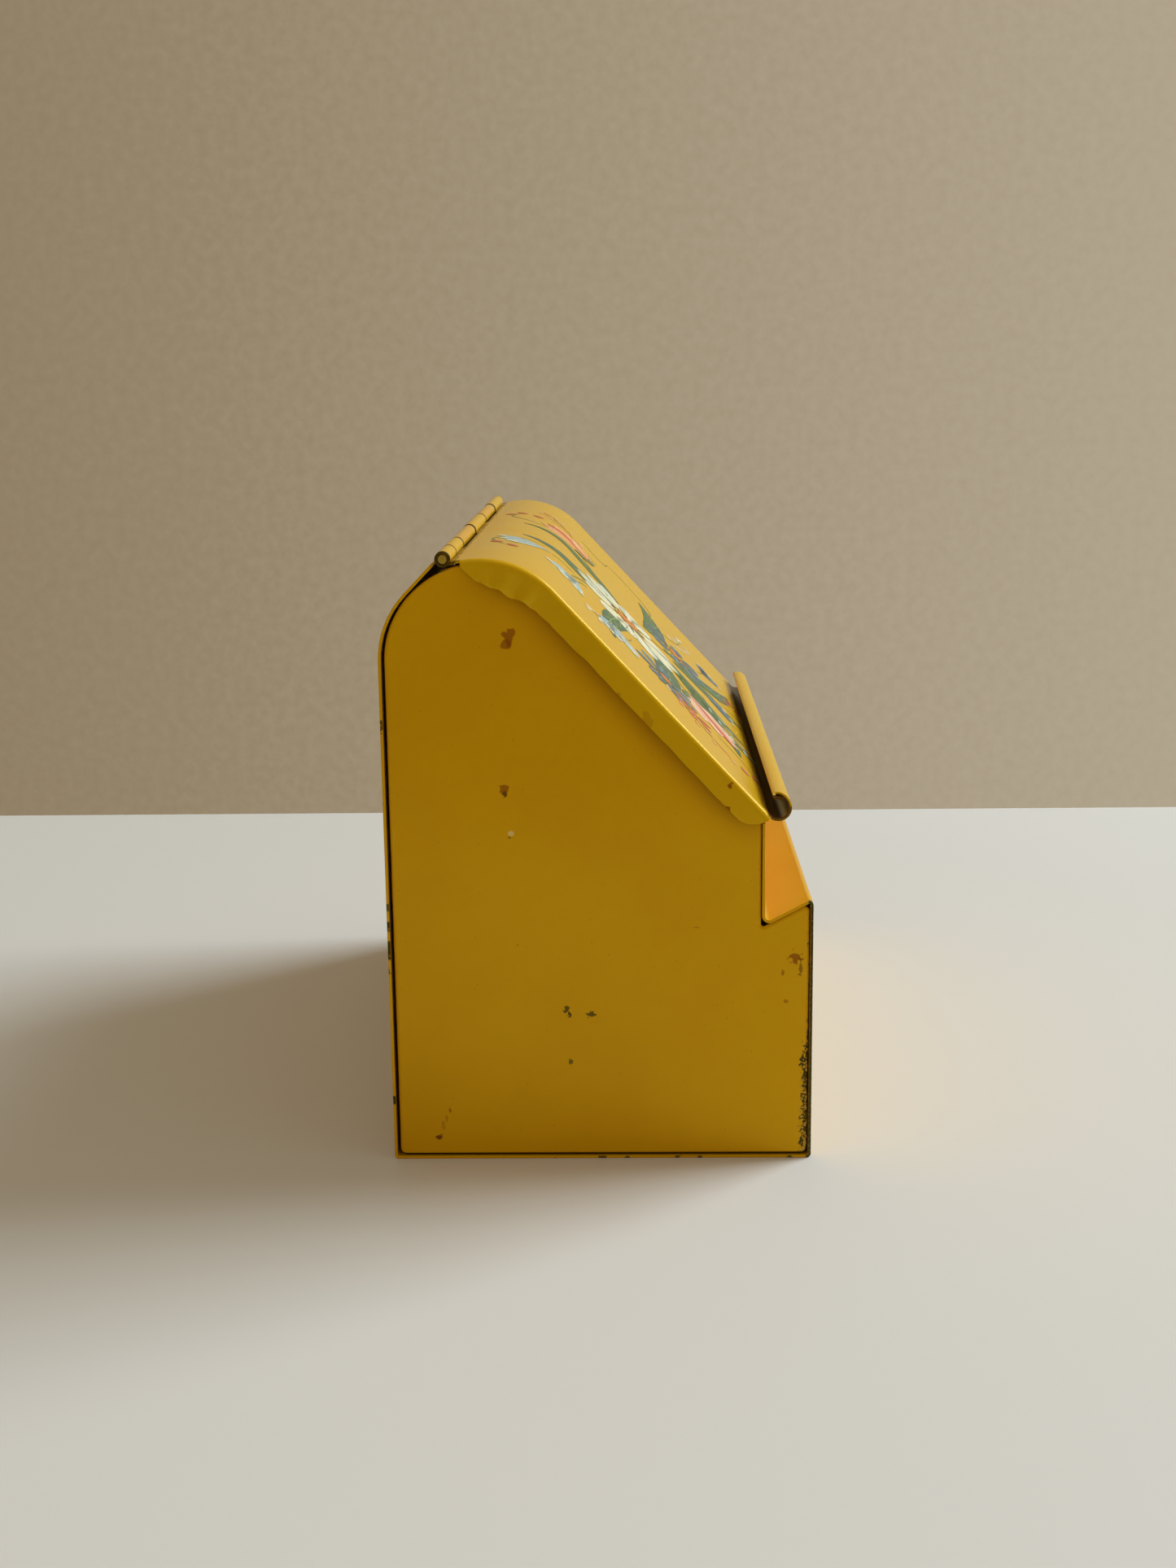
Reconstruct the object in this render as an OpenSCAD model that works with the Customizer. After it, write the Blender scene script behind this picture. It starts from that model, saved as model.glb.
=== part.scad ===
// Slant-top card box in enamelled tinplate, for index or recipe cards.
// One strip of sheet is folded into front, bottom, back and rounded top, two flanged pans close
// its ends, and a pressed lid with a curled card lip turns on a wire pin at the top of the back.
// Millimetres. The front faces -Y, the width runs along X, and z = 0 is the table.

/* [Box] */
// Width of the folded strip, from end to end
box_w = 137; // [125:1:160]
// Depth from the front wall to the back wall
box_d = 72; // [70:1:78]
// Height of the folded top edge of the front wall
front_h = 46; // [40:1:50]
// Height of the centre of the rounded top
crown_z = 87; // [85:1:95]
// Depth of the finger recess, from the front wall back to the riser
recess_d = 8.15; // [7:0.05:9]
// Slope of the ledge in the finger recess
ledge_slope = 28; // [20:1:32]
// Thickness of the sheet metal
sheet = 0.5; // [0.4:0.05:0.5]

/* [Lid] */
// Outer radius of the rounded top
crown_r = 17; // [16:0.5:18]
// Slope of the flat panel of the lid
slope = 47.1; // [45:0.1:48]
// Depth of the skirts at the ends of the lid
skirt_h = 4.3; // [3.5:0.1:5]
// Outer radius of the curled card lip
lip_r = 2.25; // [2:0.05:2.5]
// How far the edge of the card lip is curled round, in degrees from straight forward
lip_turn = 100; // [80:5:120]

/* [Hinge] */
// Diameter of the wire pin
pin_d = 1.5; // [1.2:0.1:1.6]
// Radial clearance of the lid's knuckles on the pin
pin_clearance = 0.05; // [0.03:0.01:0.08]
// Place of the hinge on the rounded top, in degrees up from the back
hinge_a = 70.5; // [68:0.5:72]
// Gap between neighbouring knuckles
knuckle_gap = 0.8; // [0.5:0.1:1.2]

/* [End pans] */
// Width of the flange round each end pan
flange_w = 4; // [3:0.5:6]
// Gap between the rounded edge of a pan and the sheet over it
pan_gap = 0.7; // [0.5:0.1:0.9]

/* [Hidden] */
$fn = 96;

enamel = "#d9a820";
enamel_shade = "#c08f10";
wire = "#8d7c55";

half = sheet / 2;
// how far neighbouring runs of one sheet run into each other, and how much thinner the inner one is
lap = 0.1;
skin = 0.01;
front_y = -box_d / 2;
back_y = box_d / 2;

// ---------------------------------------------------------------- side-view geometry
// Side views are drawn in the Y-Z plane. A path is a list of [y, z, heading] along the middle
// of the sheet, and ribbon() gives it the sheet's thickness.

// point at distance r and angle a from c
function polar(c, r, a) = [c[0] + r * cos(a), c[1] + r * sin(a)];
function heading(a, b) = atan2(b[1] - a[1], b[0] - a[0]);
function turn(h1, h2) = (h2 - h1 + 540) % 360 - 180;

// points of an arc round c, with finer steps on a large one
function arc_points(c, r, a0, a1) =
    let (steps = ceil(abs(a1 - a0) / (r < 3 ? 12 : 2.5)))
    [for (i = [0:steps]) polar(c, r, a0 + (a1 - a0) * i / steps)];

function arc_path(c, r, a0, a1) =
    let (p = arc_points(c, r, a0, a1), side = 90 * sign(a1 - a0))
    [for (q = p) [q[0], q[1], heading(c, q) + side]];

// bend of radius r where the run to p meets the run from p
function bend_path(before, p, after, r) =
    let (
        h = heading(before, p),
        t = turn(h, heading(p, after)),
        side = 90 * sign(t),
        start = polar(p, -r * tan(abs(t) / 2), h)
    )
    arc_path(polar(start, r, h + side), r, h - side, h - side + t);

// path along points, bent to radii[i] at each inner point
function fold_path(points, radii) =
    let (last = len(points) - 1, h0 = heading(points[0], points[1]))
    [
        [points[0][0], points[0][1], h0],
        for (i = [1:last - 1]) each bend_path(points[i - 1], points[i], points[i + 1], radii[i]),
        [points[last][0], points[last][1], heading(points[last - 1], points[last])]
    ];

function side_points(path, d) = [for (p = path) polar(p, d, p[2] + 90)];
function reversed(list) = [for (i = [len(list) - 1:-1:0]) list[i]];
function ribbon(path, t = sheet) = concat(side_points(path, t / 2), reversed(side_points(path, -t / 2)));

// ---------------------------------------------------------------- places

// centre of the rounded top, and the direction square to the lid's flat panel
crown = [back_y - crown_r, crown_z];
slant_a = 90 + slope;

// point on the lid's flat panel: r from the crown's centre, s down the slope
function down_slant(r, s) = polar(polar(crown, r, slant_a), s, 180 + slope);

// height of the flat panel's plane, r from the crown's centre, at depth y
function panel_z(r, y) = let (p = polar(crown, r, slant_a)) p[1] + (y - p[0]) * tan(slope);

// riser at the back of the finger recess, and its hemmed top just under the lid
riser_y = front_y + half + recess_d;
lid_clear = 0.35;
riser_top = panel_z(crown_r - sheet, riser_y - half) - lid_clear;
hem_h = 3;
hem_r = 0.4;
hem_top = riser_top - half;

// valley of the recess, where the riser meets the ledge, and the bends of the strip
valley = [riser_y, front_h - recess_d * tan(ledge_slope)];
valley_r = 1;
fold_r = 0.5;
corner_r = 0.45;

// hinge axis, where the lid's sheet touches its own curl
curl_in = pin_d / 2 + pin_clearance;
curl_out = curl_in + sheet;
pin = polar(crown, crown_r - half + curl_out - half, hinge_a);
curl_gap = 60;
barrel_clear = 0.4;
knuckles = 5;
knuckle_pitch = box_w / knuckles;
knuckle_w = knuckle_pitch - knuckle_gap;

// solid of a side view, w wide and centred on x
module across(w, x = 0) {
    translate([x, 0, 0]) rotate([90, 0, 90]) linear_extrude(w, center = true) children();
}

// frame at the crown's centre: local Z runs along the width, local X points out at angle a
module at_crown(a) {
    translate([0, crown[0], crown[1]]) rotate([90, 0, 90]) rotate([0, 0, a]) children();
}

// ---------------------------------------------------------------- hinge

// centres of every second knuckle, from the given first one
function knuckle_x(first) = [for (i = [first:2:knuckles - 1]) (i + 0.5) * knuckle_pitch - box_w / 2];

// side view of a curl round the pin, open for curl_gap degrees before angle a
module curl(r_in, a) {
    translate(pin) difference() {
        circle(r_in + sheet);
        circle(r_in);
        polygon([[0, 0], for (i = [0:3]) polar([0, 0], 4, a - curl_gap * i / 3)]);
    }
}

// wire pin, held by the strip's crimped knuckles and just short of the barrel's ends
module hinge_pin() {
    color(wire) translate([0, pin[0], pin[1]]) rotate([0, 90, 0])
        cylinder(h = box_w - 0.6, d = pin_d, center = true);
}

// ---------------------------------------------------------------- folded strip

// rounded back, a little tighter than the lid, then a straight run up to the hinge
wrap_r = 16.2 - half;
wrap_a = 44;
wrap_line = 90 + wrap_a;
wrap_vertex = [back_y - half, crown_z + wrap_r * tan(wrap_a / 2)];
// the run's cut edge, short of the barrel
wrap_reach = (pin[0] - wrap_vertex[0]) * cos(wrap_line) + (pin[1] - wrap_vertex[1]) * sin(wrap_line);
wrap_end = polar(wrap_vertex, wrap_reach - curl_out - barrel_clear, wrap_line);

// tabs that bend at the cut edge to pass under the pin, then curl up in front of it
tab_r = pin_d / 2 + half;
tab_a = heading(wrap_end, pin) + asin(tab_r / norm(pin - wrap_end));
tab_touch = polar(pin, tab_r, tab_a + 90);
tab_bend_r = 1;
tab_root = polar(wrap_end, -1.5 * tab_bend_r, wrap_line);

wrap_points = [
    [riser_y, hem_top - hem_r],
    valley,
    [front_y + half, front_h],
    [front_y + half, half],
    [back_y - half, half],
    wrap_vertex,
    tab_root
];
wrap_radii = [0, valley_r, fold_r, corner_r, corner_r, wrap_r, 0];

module body_wrap() {
    color(enamel) {
        across(box_w) polygon(ribbon(fold_path(wrap_points, wrap_radii)));
        across(box_w - 2 * flange_w - 2) riser_hem();
        for (x = knuckle_x(0)) {
            across(knuckle_pitch, x) wrap_edge();
        }
        for (x = knuckle_x(1)) {
            across(knuckle_w, x) wrap_knuckle();
        }
    }
}

// end of the strip between the tabs, short of the lid's knuckles
module wrap_edge() {
    a = polar(tab_root, -lap, wrap_line);
    polygon(ribbon([[a[0], a[1], wrap_line], [wrap_end[0], wrap_end[1], wrap_line]], sheet - 2 * skin));
}

// top edge of the riser, turned over to the inside
module riser_hem() {
    inner_y = riser_y + 2 * hem_r;
    path = concat(
        [[inner_y, riser_top - hem_h, 90]],
        arc_path([riser_y + hem_r, hem_top - hem_r], hem_r, 0, 180),
        [[riser_y, hem_top - 2 * hem_r, 270]]
    );
    polygon(ribbon(path));
}

// tab of the strip with its curl, crimped on the pin
module wrap_knuckle() {
    root = polar(tab_root, -lap, wrap_line);
    tip = polar(tab_touch, lap, tab_a);
    polygon(ribbon(fold_path([root, wrap_end, tip], [0, tab_bend_r, 0]), sheet - 2 * skin));
    curl(pin_d / 2, tab_a + 90 + curl_gap);
}

// ---------------------------------------------------------------- end pans

// side outline of a pan, taken in by inset all round
module end_outline(inset) {
    r = crown_r - sheet - pan_gap - inset;
    front = front_y + sheet + inset;
    riser = riser_y + half + inset;
    bottom = sheet + inset;
    back = crown[0] + r;
    cut = 0.6;
    // underside of the ledge, taken in
    ledge_top = front_h - (half + inset) / cos(ledge_slope);
    ledge_at = function (y) ledge_top - (y - front_y - half) * tan(ledge_slope);
    polygon(concat(
        [
            [back, bottom + cut],
            [back - cut, bottom],
            [front + cut, bottom],
            [front, bottom + cut],
            [front, ledge_at(front) - 2 * cut],
            [front + cut, ledge_at(front + cut)],
            [riser, ledge_at(riser)],
            [riser, panel_z(r, riser)]
        ],
        arc_points(crown, r, slant_a, 0)
    ));
}

// notches that let the flange fold at the corners of the finger recess
module flange_reliefs() {
    for (p = [valley, [front_y, front_h]]) {
        translate(p) circle(r = 2.2);
    }
    translate([riser_y, riser_top - hem_h - 1]) square([3, 2 * hem_h]);
}

// pan with its face outwards at side = -1 (left) or 1 (right)
module end_panel(side) {
    face_x = box_w / 2 - 0.2;
    across(sheet, side * (face_x - half)) end_outline(0);
    across(flange_w - half, side * (face_x - (flange_w + half) / 2)) difference() {
        end_outline(0);
        end_outline(sheet);
        flange_reliefs();
    }
}

module left_end_panel() {
    color(enamel_shade) end_panel(-1);
}

module right_end_panel() {
    color(enamel_shade) end_panel(1);
}

// ---------------------------------------------------------------- lid

lid_w = box_w + 2;
lid_bend = 1;
// rear edge between the knuckles, and at the ends where the skirts start
rear_a = 75.5;
skirt_a = 79.5;
// curled lip: centre of the curl, its length and the hem along its free edge
lip_centre_y = riser_y - 2.45;
lip_s = (polar(crown, crown_r + lip_r - sheet, slant_a)[0] - lip_centre_y) / cos(slope);
lip_centre = down_slant(crown_r + lip_r - sheet, lip_s);
lip_w = lid_w - 4;
lip_corner = 3.5;
lip_hem_r = half + 0.05;
lip_hem_turn = 45;

// section across the lid: the sheet and deep skirts, turned down round both ends
module lid_section() {
    x = lid_w / 2 - half;
    top = crown_r - half;
    low = crown_r - skirt_h - 1.5;
    points = [[low, -x], [top, -x], [top, x], [low, x]];
    polygon(ribbon(fold_path(points, [0, lid_bend - half, lid_bend - half, 0])));
}

// side view that trims the skirts: hollowed out at the hinge, flatter under the crown, parallel
// to the panel, and rounded at the lip
module skirt_trim() {
    depth = crown_r - skirt_h;
    above = crown_r + 4;
    nose = down_slant(crown_r, lip_s - skirt_h);
    heel_r = 11.3;
    heel = crown + [-5.9, crown_r + 5.7];
    heel_from = -15;
    heel_to = -77;
    polygon(concat(
        arc_points(heel, heel_r, heel_from, heel_to),
        [polar(crown, depth, slant_a)],
        arc_points(nose, skirt_h, slant_a - 180, slope - 180),
        [down_slant(above, lip_s), polar(crown, above, slant_a), polar(crown, above, 100)]
    ));
}

// sheet between two angles of the rounded top, w wide at x, thinner by inset on each side
module crown_strip(w, x, a0, a1, inset) {
    at_crown(a0) rotate_extrude(angle = a1 - a0)
        translate([crown_r - sheet + inset, x - w / 2]) square([sheet - 2 * inset, w]);
}

// pressed sheet with its skirts, from the hinge side to the root of the lip
module lid_shell() {
    // how far the rounded and the flat stretches run into each other
    over_a = 3.4;
    over_s = 0.4;
    intersection() {
        union() {
            at_crown(skirt_a) rotate_extrude(angle = slant_a - skirt_a + over_a) lid_section();
            at_crown(slant_a) rotate([90, 0, 0]) translate([-skin, 0, -lip_s])
                linear_extrude(lip_s + over_s) lid_section();
        }
        across(lid_w + 1) skirt_trim();
    }
}

// side view of the card lip: curled forward and up, its free edge hemmed inside
module lip_outline() {
    mid_r = lip_r - half;
    free_a = 180 - lip_turn;
    root = down_slant(crown_r - half, lip_s - 1);
    fold = polar(lip_centre, mid_r - lip_hem_r, free_a);
    path = concat(
        [[root[0], root[1], 180 + slope]],
        arc_path(lip_centre, mid_r, slant_a + 180, free_a),
        arc_path(fold, lip_hem_r, free_a - 15, free_a - 165),
        arc_path(lip_centre, mid_r - 2 * lip_hem_r, free_a, free_a + lip_hem_turn)
    );
    polygon(ribbon(path, sheet - 2 * skin));
}

// front view of the lip, from its lowest line up, with rounded upper corners
module lip_front(high) {
    w = lip_w - 2 * lip_corner;
    polygon(concat(
        [[-lip_w / 2, -1], [lip_w / 2, -1]],
        arc_points([w / 2, high - lip_corner], lip_corner, 0, 90),
        arc_points([-w / 2, high - lip_corner], lip_corner, 90, 180)
    ));
}

module card_lip() {
    intersection() {
        across(lip_w + 1) lip_outline();
        translate([0, lip_centre_y, lip_centre[1] - lip_r]) rotate([90, 0, 0])
            linear_extrude(4 * lip_r, center = true) lip_front(2 * lip_r);
    }
}

module lid() {
    lap_a = 1;
    color(enamel) {
        lid_shell();
        crown_strip(lid_w - 4 * lid_bend, 0, rear_a, skirt_a + lap_a, skin);
        for (x = knuckle_x(0)) {
            crown_strip(knuckle_w, x, hinge_a - 0.3, rear_a + lap_a, 2 * skin);
            across(knuckle_w, x) curl(curl_in, hinge_a + 180);
        }
        card_lip();
    }
}

body_wrap();
left_end_panel();
right_end_panel();
lid();
hinge_pin();
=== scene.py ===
"""Looks of a slant-top card box in worn yellow enamel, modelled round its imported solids."""

import logging
import math
import random
from collections.abc import Callable, Sequence
from dataclasses import dataclass, field
from enum import Enum
from itertools import pairwise

import bmesh
import bpy
from mathutils import Euler, Matrix, Vector, noise


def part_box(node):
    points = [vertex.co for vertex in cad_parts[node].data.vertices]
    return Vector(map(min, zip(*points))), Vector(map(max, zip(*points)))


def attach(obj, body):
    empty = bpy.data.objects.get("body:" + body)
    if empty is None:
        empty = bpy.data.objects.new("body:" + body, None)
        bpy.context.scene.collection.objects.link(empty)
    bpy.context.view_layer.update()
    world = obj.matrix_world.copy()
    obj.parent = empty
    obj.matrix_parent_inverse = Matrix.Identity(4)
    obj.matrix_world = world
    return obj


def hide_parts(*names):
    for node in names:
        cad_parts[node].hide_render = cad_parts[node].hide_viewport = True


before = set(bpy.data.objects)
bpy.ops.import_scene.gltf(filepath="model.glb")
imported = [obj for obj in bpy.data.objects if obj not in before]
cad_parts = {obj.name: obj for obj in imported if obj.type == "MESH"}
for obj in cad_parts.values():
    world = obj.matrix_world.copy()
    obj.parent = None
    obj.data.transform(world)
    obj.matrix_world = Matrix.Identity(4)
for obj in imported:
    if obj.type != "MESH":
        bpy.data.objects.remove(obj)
log = logging.getLogger("card_box")

MM = 0.001
Point = tuple[float, float]
Colour = tuple[float, float, float]
Socket = bpy.types.NodeSocket
Piece = bpy.types.Object
Material = bpy.types.Material

SMOOTH_ANGLE = math.radians(40)
CUT_ANGLE = math.radians(50)
RING_SLACK = 0.02
DOUBLE_REACH = 0.004 * MM


# ---------------------------------------------------------------- side-view geometry


def polar(centre: Point, radius: float, angle: float) -> Point:
    """Gives the point at a distance and an angle from a centre.

    Args:
        centre: Where the distance is measured from.
        radius: The distance.
        angle: Degrees from the first axis towards the second.

    Returns:
        The point.
    """
    turn = math.radians(angle)
    return centre[0] + radius * math.cos(turn), centre[1] + radius * math.sin(turn)


def heading(start: Point, end: Point) -> float:
    """Gives the direction from one point to another, in degrees."""
    return math.degrees(math.atan2(end[1] - start[1], end[0] - start[0]))


def turn_between(before: float, after: float) -> float:
    """Gives the shorter turn from one heading to another, in degrees."""
    return (after - before + 540) % 360 - 180


@dataclass(frozen=True)
class Plan:
    """Sizes of the box in millimetres, and the side-view places that follow from them.

    A place is a (y, z) pair, and an angle is in degrees from +Y towards +Z.
    """

    width: float
    depth: float
    lid_width: float
    sheet: float = 0.5
    front_height: float = 46.0
    crown_height: float = 87.0
    crown_radius: float = 17.0
    slope: float = 47.1
    recess_depth: float = 8.15
    ledge_slope: float = 28.0
    skirt: float = 4.3
    lip_radius: float = 2.25
    lip_turn: float = 100.0
    pin_radius: float = 0.75
    pin_clearance: float = 0.05
    hinge_angle: float = 70.5
    rear_angle: float = 75.5
    skirt_angle: float = 79.5
    curl_sweep: float = 300.0
    curl_steps: int = 40
    knuckles: int = 5
    knuckle_gap: float = 0.8

    @classmethod
    def from_frame(cls) -> "Plan":
        """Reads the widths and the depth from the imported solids."""
        wrap_low, wrap_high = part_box("body_wrap")
        lid_low, lid_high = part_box("lid")
        wrap = (wrap_high - wrap_low) / MM
        return cls(width=wrap.x, depth=wrap.y, lid_width=(lid_high - lid_low).x / MM)

    @property
    def half(self) -> float:
        """Half of the sheet's thickness."""
        return self.sheet / 2

    @property
    def crown(self) -> Point:
        """Centre of the rounded top."""
        return self.depth / 2 - self.crown_radius, self.crown_height

    @property
    def slant_angle(self) -> float:
        """Direction square to the flat panel of the lid."""
        return 90 + self.slope

    @property
    def slant_out(self) -> Vector:
        """Direction square to the slant, out of the box."""
        return Vector((0, *polar((0, 0), 1, self.slant_angle)))

    @property
    def slant_down(self) -> Vector:
        """Direction down the slant."""
        return Vector((0, *polar((0, 0), 1, 180 + self.slope)))

    @property
    def riser_y(self) -> float:
        """Middle of the riser's sheet."""
        return self.half + self.recess_depth - self.depth / 2

    @property
    def lip_s(self) -> float:
        """Distance down the slope from the crown to the card lip."""
        start = polar(self.crown, self.crown_radius + self.lip_radius - self.sheet, self.slant_angle)
        return (start[0] - self.riser_y + 2.45) / math.cos(math.radians(self.slope))

    @property
    def pin(self) -> Point:
        """Axis of the hinge, where the lid's sheet touches its own curl."""
        return polar(self.crown, self.crown_radius - self.sheet + self.knuckle_radius, self.hinge_angle)

    @property
    def knuckle_radius(self) -> float:
        """Outer radius of the hinge's curled tabs."""
        return self.pin_radius + self.pin_clearance + self.sheet

    def down_slant(self, radius: float, s: float) -> Point:
        """Gives the place at a height over the crown's centre and a distance down the slope."""
        return polar(polar(self.crown, radius, self.slant_angle), s, 180 + self.slope)

    def panel_z(self, radius: float, y: float) -> float:
        """Gives the height of the slanted plane at a depth."""
        start = polar(self.crown, radius, self.slant_angle)
        return start[1] + (y - start[0]) * math.tan(math.radians(self.slope))

    def knuckle_spans(self, first: int) -> list[Point]:
        """Gives the ends along X of every second knuckle, from the given first one."""
        pitch = self.width / self.knuckles
        reach = (pitch - self.knuckle_gap) / 2
        middles = [(i + 0.5) * pitch - self.width / 2 for i in range(first, self.knuckles, 2)]
        return [(middle - reach, middle + reach) for middle in middles]


# ---------------------------------------------------------------- folding bench


@dataclass
class Bench:
    """Draws with the selected vertex, or folds the selected edge, run by run and bend by bend.

    Attributes:
        at: Where the selection is, in millimetres along the two axes.
        heading: Direction of the next run, in degrees from the first axis to the second.
        first: First axis of the plane that is drawn in.
        second: Second axis of that plane.
        origin: Where both axes are 0, in millimetres.
    """

    at: Point
    heading: float
    first: Vector = field(default_factory=lambda: Vector((0, 1, 0)))
    second: Vector = field(default_factory=lambda: Vector((0, 0, 1)))
    origin: Vector = field(default_factory=Vector)

    def place(self, point: Point) -> Vector:
        """Gives the place in metres of a point of the plane."""
        return (self.origin + self.first * point[0] + self.second * point[1]) * MM

    def run(self, length: float, steps: int = 1) -> "Bench":
        """Extrudes the selection straight on.

        Args:
            length: Length of the run in millimetres.
            steps: Number of equal steps that it is made in.

        Returns:
            The bench itself.
        """
        for _ in range(steps):
            end = polar(self.at, length / steps, self.heading)
            move = self.place(end) - self.place(self.at)
            bpy.ops.mesh.extrude_region_move(TRANSFORM_OT_translate={"value": move})
            self.at = end
        return self

    def bend(self, radius: float, angle: float, steps: int) -> "Bench":
        """Spins the selection round a bend.

        Args:
            radius: Radius at the middle of the sheet, in millimetres.
            angle: Turn in degrees, to the left where it is positive.
            steps: Number of steps in the bend.

        Returns:
            The bench itself.
        """
        side = math.copysign(90, angle)
        centre = polar(self.at, radius, self.heading + side)
        bpy.ops.mesh.spin(
            steps=steps,
            angle=-math.radians(angle),
            center=self.place(centre),
            axis=self.first.cross(self.second),
        )
        self.at = polar(centre, radius, self.heading - side + angle)
        self.heading += angle
        return self

    def fold(self, points: Sequence[Point], radii: Sequence[float], step: float = 12) -> "Bench":
        """Runs through points, with a bend at each but the last.

        Args:
            points: The points ahead, in order.
            radii: Radius of the bend at each point but the last.
            step: Degrees of bend to a step.

        Returns:
            The bench itself.
        """
        for point, after, radius in zip(points, points[1:], radii):
            angle = turn_between(self.heading, heading(point, after))
            tangent = radius * math.tan(math.radians(abs(angle) / 2))
            self.run(math.dist(self.at, point) - tangent)
            self.bend(radius, angle, math.ceil(abs(angle) / step))
        return self.run(math.dist(self.at, points[-1]))


def deselect_objects() -> None:
    """Leaves edit mode and deselects every object."""
    if bpy.context.object and bpy.context.object.mode != "OBJECT":
        bpy.ops.object.mode_set(mode="OBJECT")
    bpy.ops.object.select_all(action="DESELECT")


def added(name: str) -> Piece:
    """Names the object that was just added, and its mesh, and returns it."""
    piece = bpy.context.object
    piece.name = piece.data.name = name
    return piece


def start_mesh(name: str) -> Piece:
    """Starts a piece as one tiny plane in edit mode."""
    deselect_objects()
    bpy.ops.mesh.primitive_plane_add(size=MM)
    piece = added(name)
    bpy.ops.object.mode_set(mode="EDIT")
    return piece


def start_vertex(name: str, place: Vector) -> Piece:
    """Starts a piece as one selected vertex in edit mode.

    Args:
        name: Name of the piece.
        place: Where the vertex is, in metres.

    Returns:
        The new object, at the origin.
    """
    piece = start_mesh(name)
    bpy.ops.mesh.select_mode(type="VERT")
    bpy.ops.mesh.merge(type="CENTER")
    bpy.ops.transform.translate(value=place)
    return piece


def select_edges(piece: Piece, where: Callable[[Vector], bool]) -> None:
    """Selects the edges whose ends both pass a test of their place in millimetres."""
    bpy.ops.mesh.select_mode(type="EDGE")
    bpy.ops.mesh.select_all(action="DESELECT")
    mesh = bmesh.from_edit_mesh(piece.data)
    for edge in mesh.edges:
        edge.select_set(all(where(end.co / MM) for end in edge.verts))
    mesh.select_flush_mode()
    bmesh.update_edit_mesh(piece.data)


def select_ring(piece: Piece, at: Point, low: float, high: float) -> None:
    """Selects the line of edges across the sheet at a side-view place, between two X."""

    def on_ring(co: Vector) -> bool:
        near = max(abs(co.y - at[0]), abs(co.z - at[1])) < RING_SLACK
        return near and low - RING_SLACK < co.x < high + RING_SLACK

    select_edges(piece, on_ring)


def apply_modifier(piece: Piece, kind: str, **settings: object) -> None:
    """Adds a modifier to a piece, sets it and applies it."""
    bpy.context.view_layer.objects.active = piece
    modifier = piece.modifiers.new(kind.title(), kind)
    for key, value in settings.items():
        setattr(modifier, key, value)
    bpy.ops.object.modifier_apply(modifier=modifier.name)


def close_up(piece: Piece, outside: Vector) -> None:
    """Joins doubled vertices and turns the open sheet's faces outwards, still in edit mode.

    Args:
        piece: The open sheet.
        outside: A place just outside it, in millimetres.
    """
    bpy.ops.mesh.select_all(action="SELECT")
    bpy.ops.mesh.remove_doubles(threshold=DOUBLE_REACH)
    bpy.ops.mesh.normals_make_consistent(inside=False)
    mesh = bmesh.from_edit_mesh(piece.data)
    target = outside * MM
    nearest = min(mesh.faces, key=lambda face: (face.calc_center_median() - target).length)
    if nearest.normal.dot(target - nearest.calc_center_median()) < 0:
        bpy.ops.mesh.flip_normals()
    bpy.ops.object.mode_set(mode="OBJECT")


def thicken(piece: Piece, thickness: float, offset: float = 0.0, edge: float = 0.1) -> None:
    """Gives an open sheet its wall and softens its cut edges.

    The inside takes the piece's second material.

    Args:
        piece: The open sheet.
        thickness: Thickness of the wall in millimetres.
        offset: 0 for a sheet drawn along its middle, -1 for one drawn along its outside.
        edge: Radius of the cut edges in millimetres.
    """
    wall = {"thickness": thickness * MM, "offset": offset, "use_even_offset": True, "material_offset": 1}
    apply_modifier(piece, "SOLIDIFY", **wall)
    cut = {"limit_method": "ANGLE", "angle_limit": CUT_ANGLE, "use_clamp_overlap": True}
    apply_modifier(piece, "BEVEL", width=edge * MM, segments=2, **cut)
    smooth(piece)


def smooth(piece: Piece) -> None:
    """Smooths a piece between its sharp edges, and keeps its flat faces flat."""
    deselect_objects()
    piece.select_set(True)
    bpy.context.view_layer.objects.active = piece
    bpy.ops.object.shade_smooth_by_angle(angle=SMOOTH_ANGLE)
    apply_modifier(piece, "WEIGHTED_NORMAL", keep_sharp=True)


def coat(piece: Piece, *materials: Material) -> None:
    """Gives a piece its materials, the outside first."""
    piece.data.materials.clear()
    for material in materials:
        piece.data.materials.append(material)


def coat_round(piece: Piece, at: Point, reach: float) -> None:
    """Gives the faces near a line along X, at a side-view place, the outside's enamel."""
    for face in piece.data.polygons:
        if math.dist(face.center.yz / MM, at) < reach:
            face.material_index = 0


def dress(piece: Piece, body: str) -> None:
    """Gives a finished piece its body."""
    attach(piece, body)
    log.info("%s: %d faces, on %s", piece.name, len(piece.data.polygons), body)


# ---------------------------------------------------------------- materials

RUST = (0.10, 0.028, 0.008)
# Bare steel where the enamel is chipped; also painted shade, with dirt, in the seam round each end pan and
# along its foot.
BARE_AND_SEAM_SHADE = (0.024, 0.009, 0.004)
STEEL = (0.20, 0.17, 0.13)
SMUDGE = (0.27, 0.038, 0.002)
SCAB = (0.16, 0.013, 0.002)
PALE_CHIP = (0.85, 0.62, 0.25)
# Painted shadow: the shade that the lid's skirt casts on the end pans, laid in as colour.
UNDER_SKIRT_SHADOW = (0.40, 0.15, 0.001)
# The body's and the lid's yellows are lit and shaded copies of one enamel: the lid's is set more lemon to
# match it where it lies in light, the body's to match its ends in shade.
BODY_YELLOW = (0.74, 0.372, 0.002)
LID_YELLOW_AS_LIT = (0.71, 0.40, 0.003)
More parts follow.
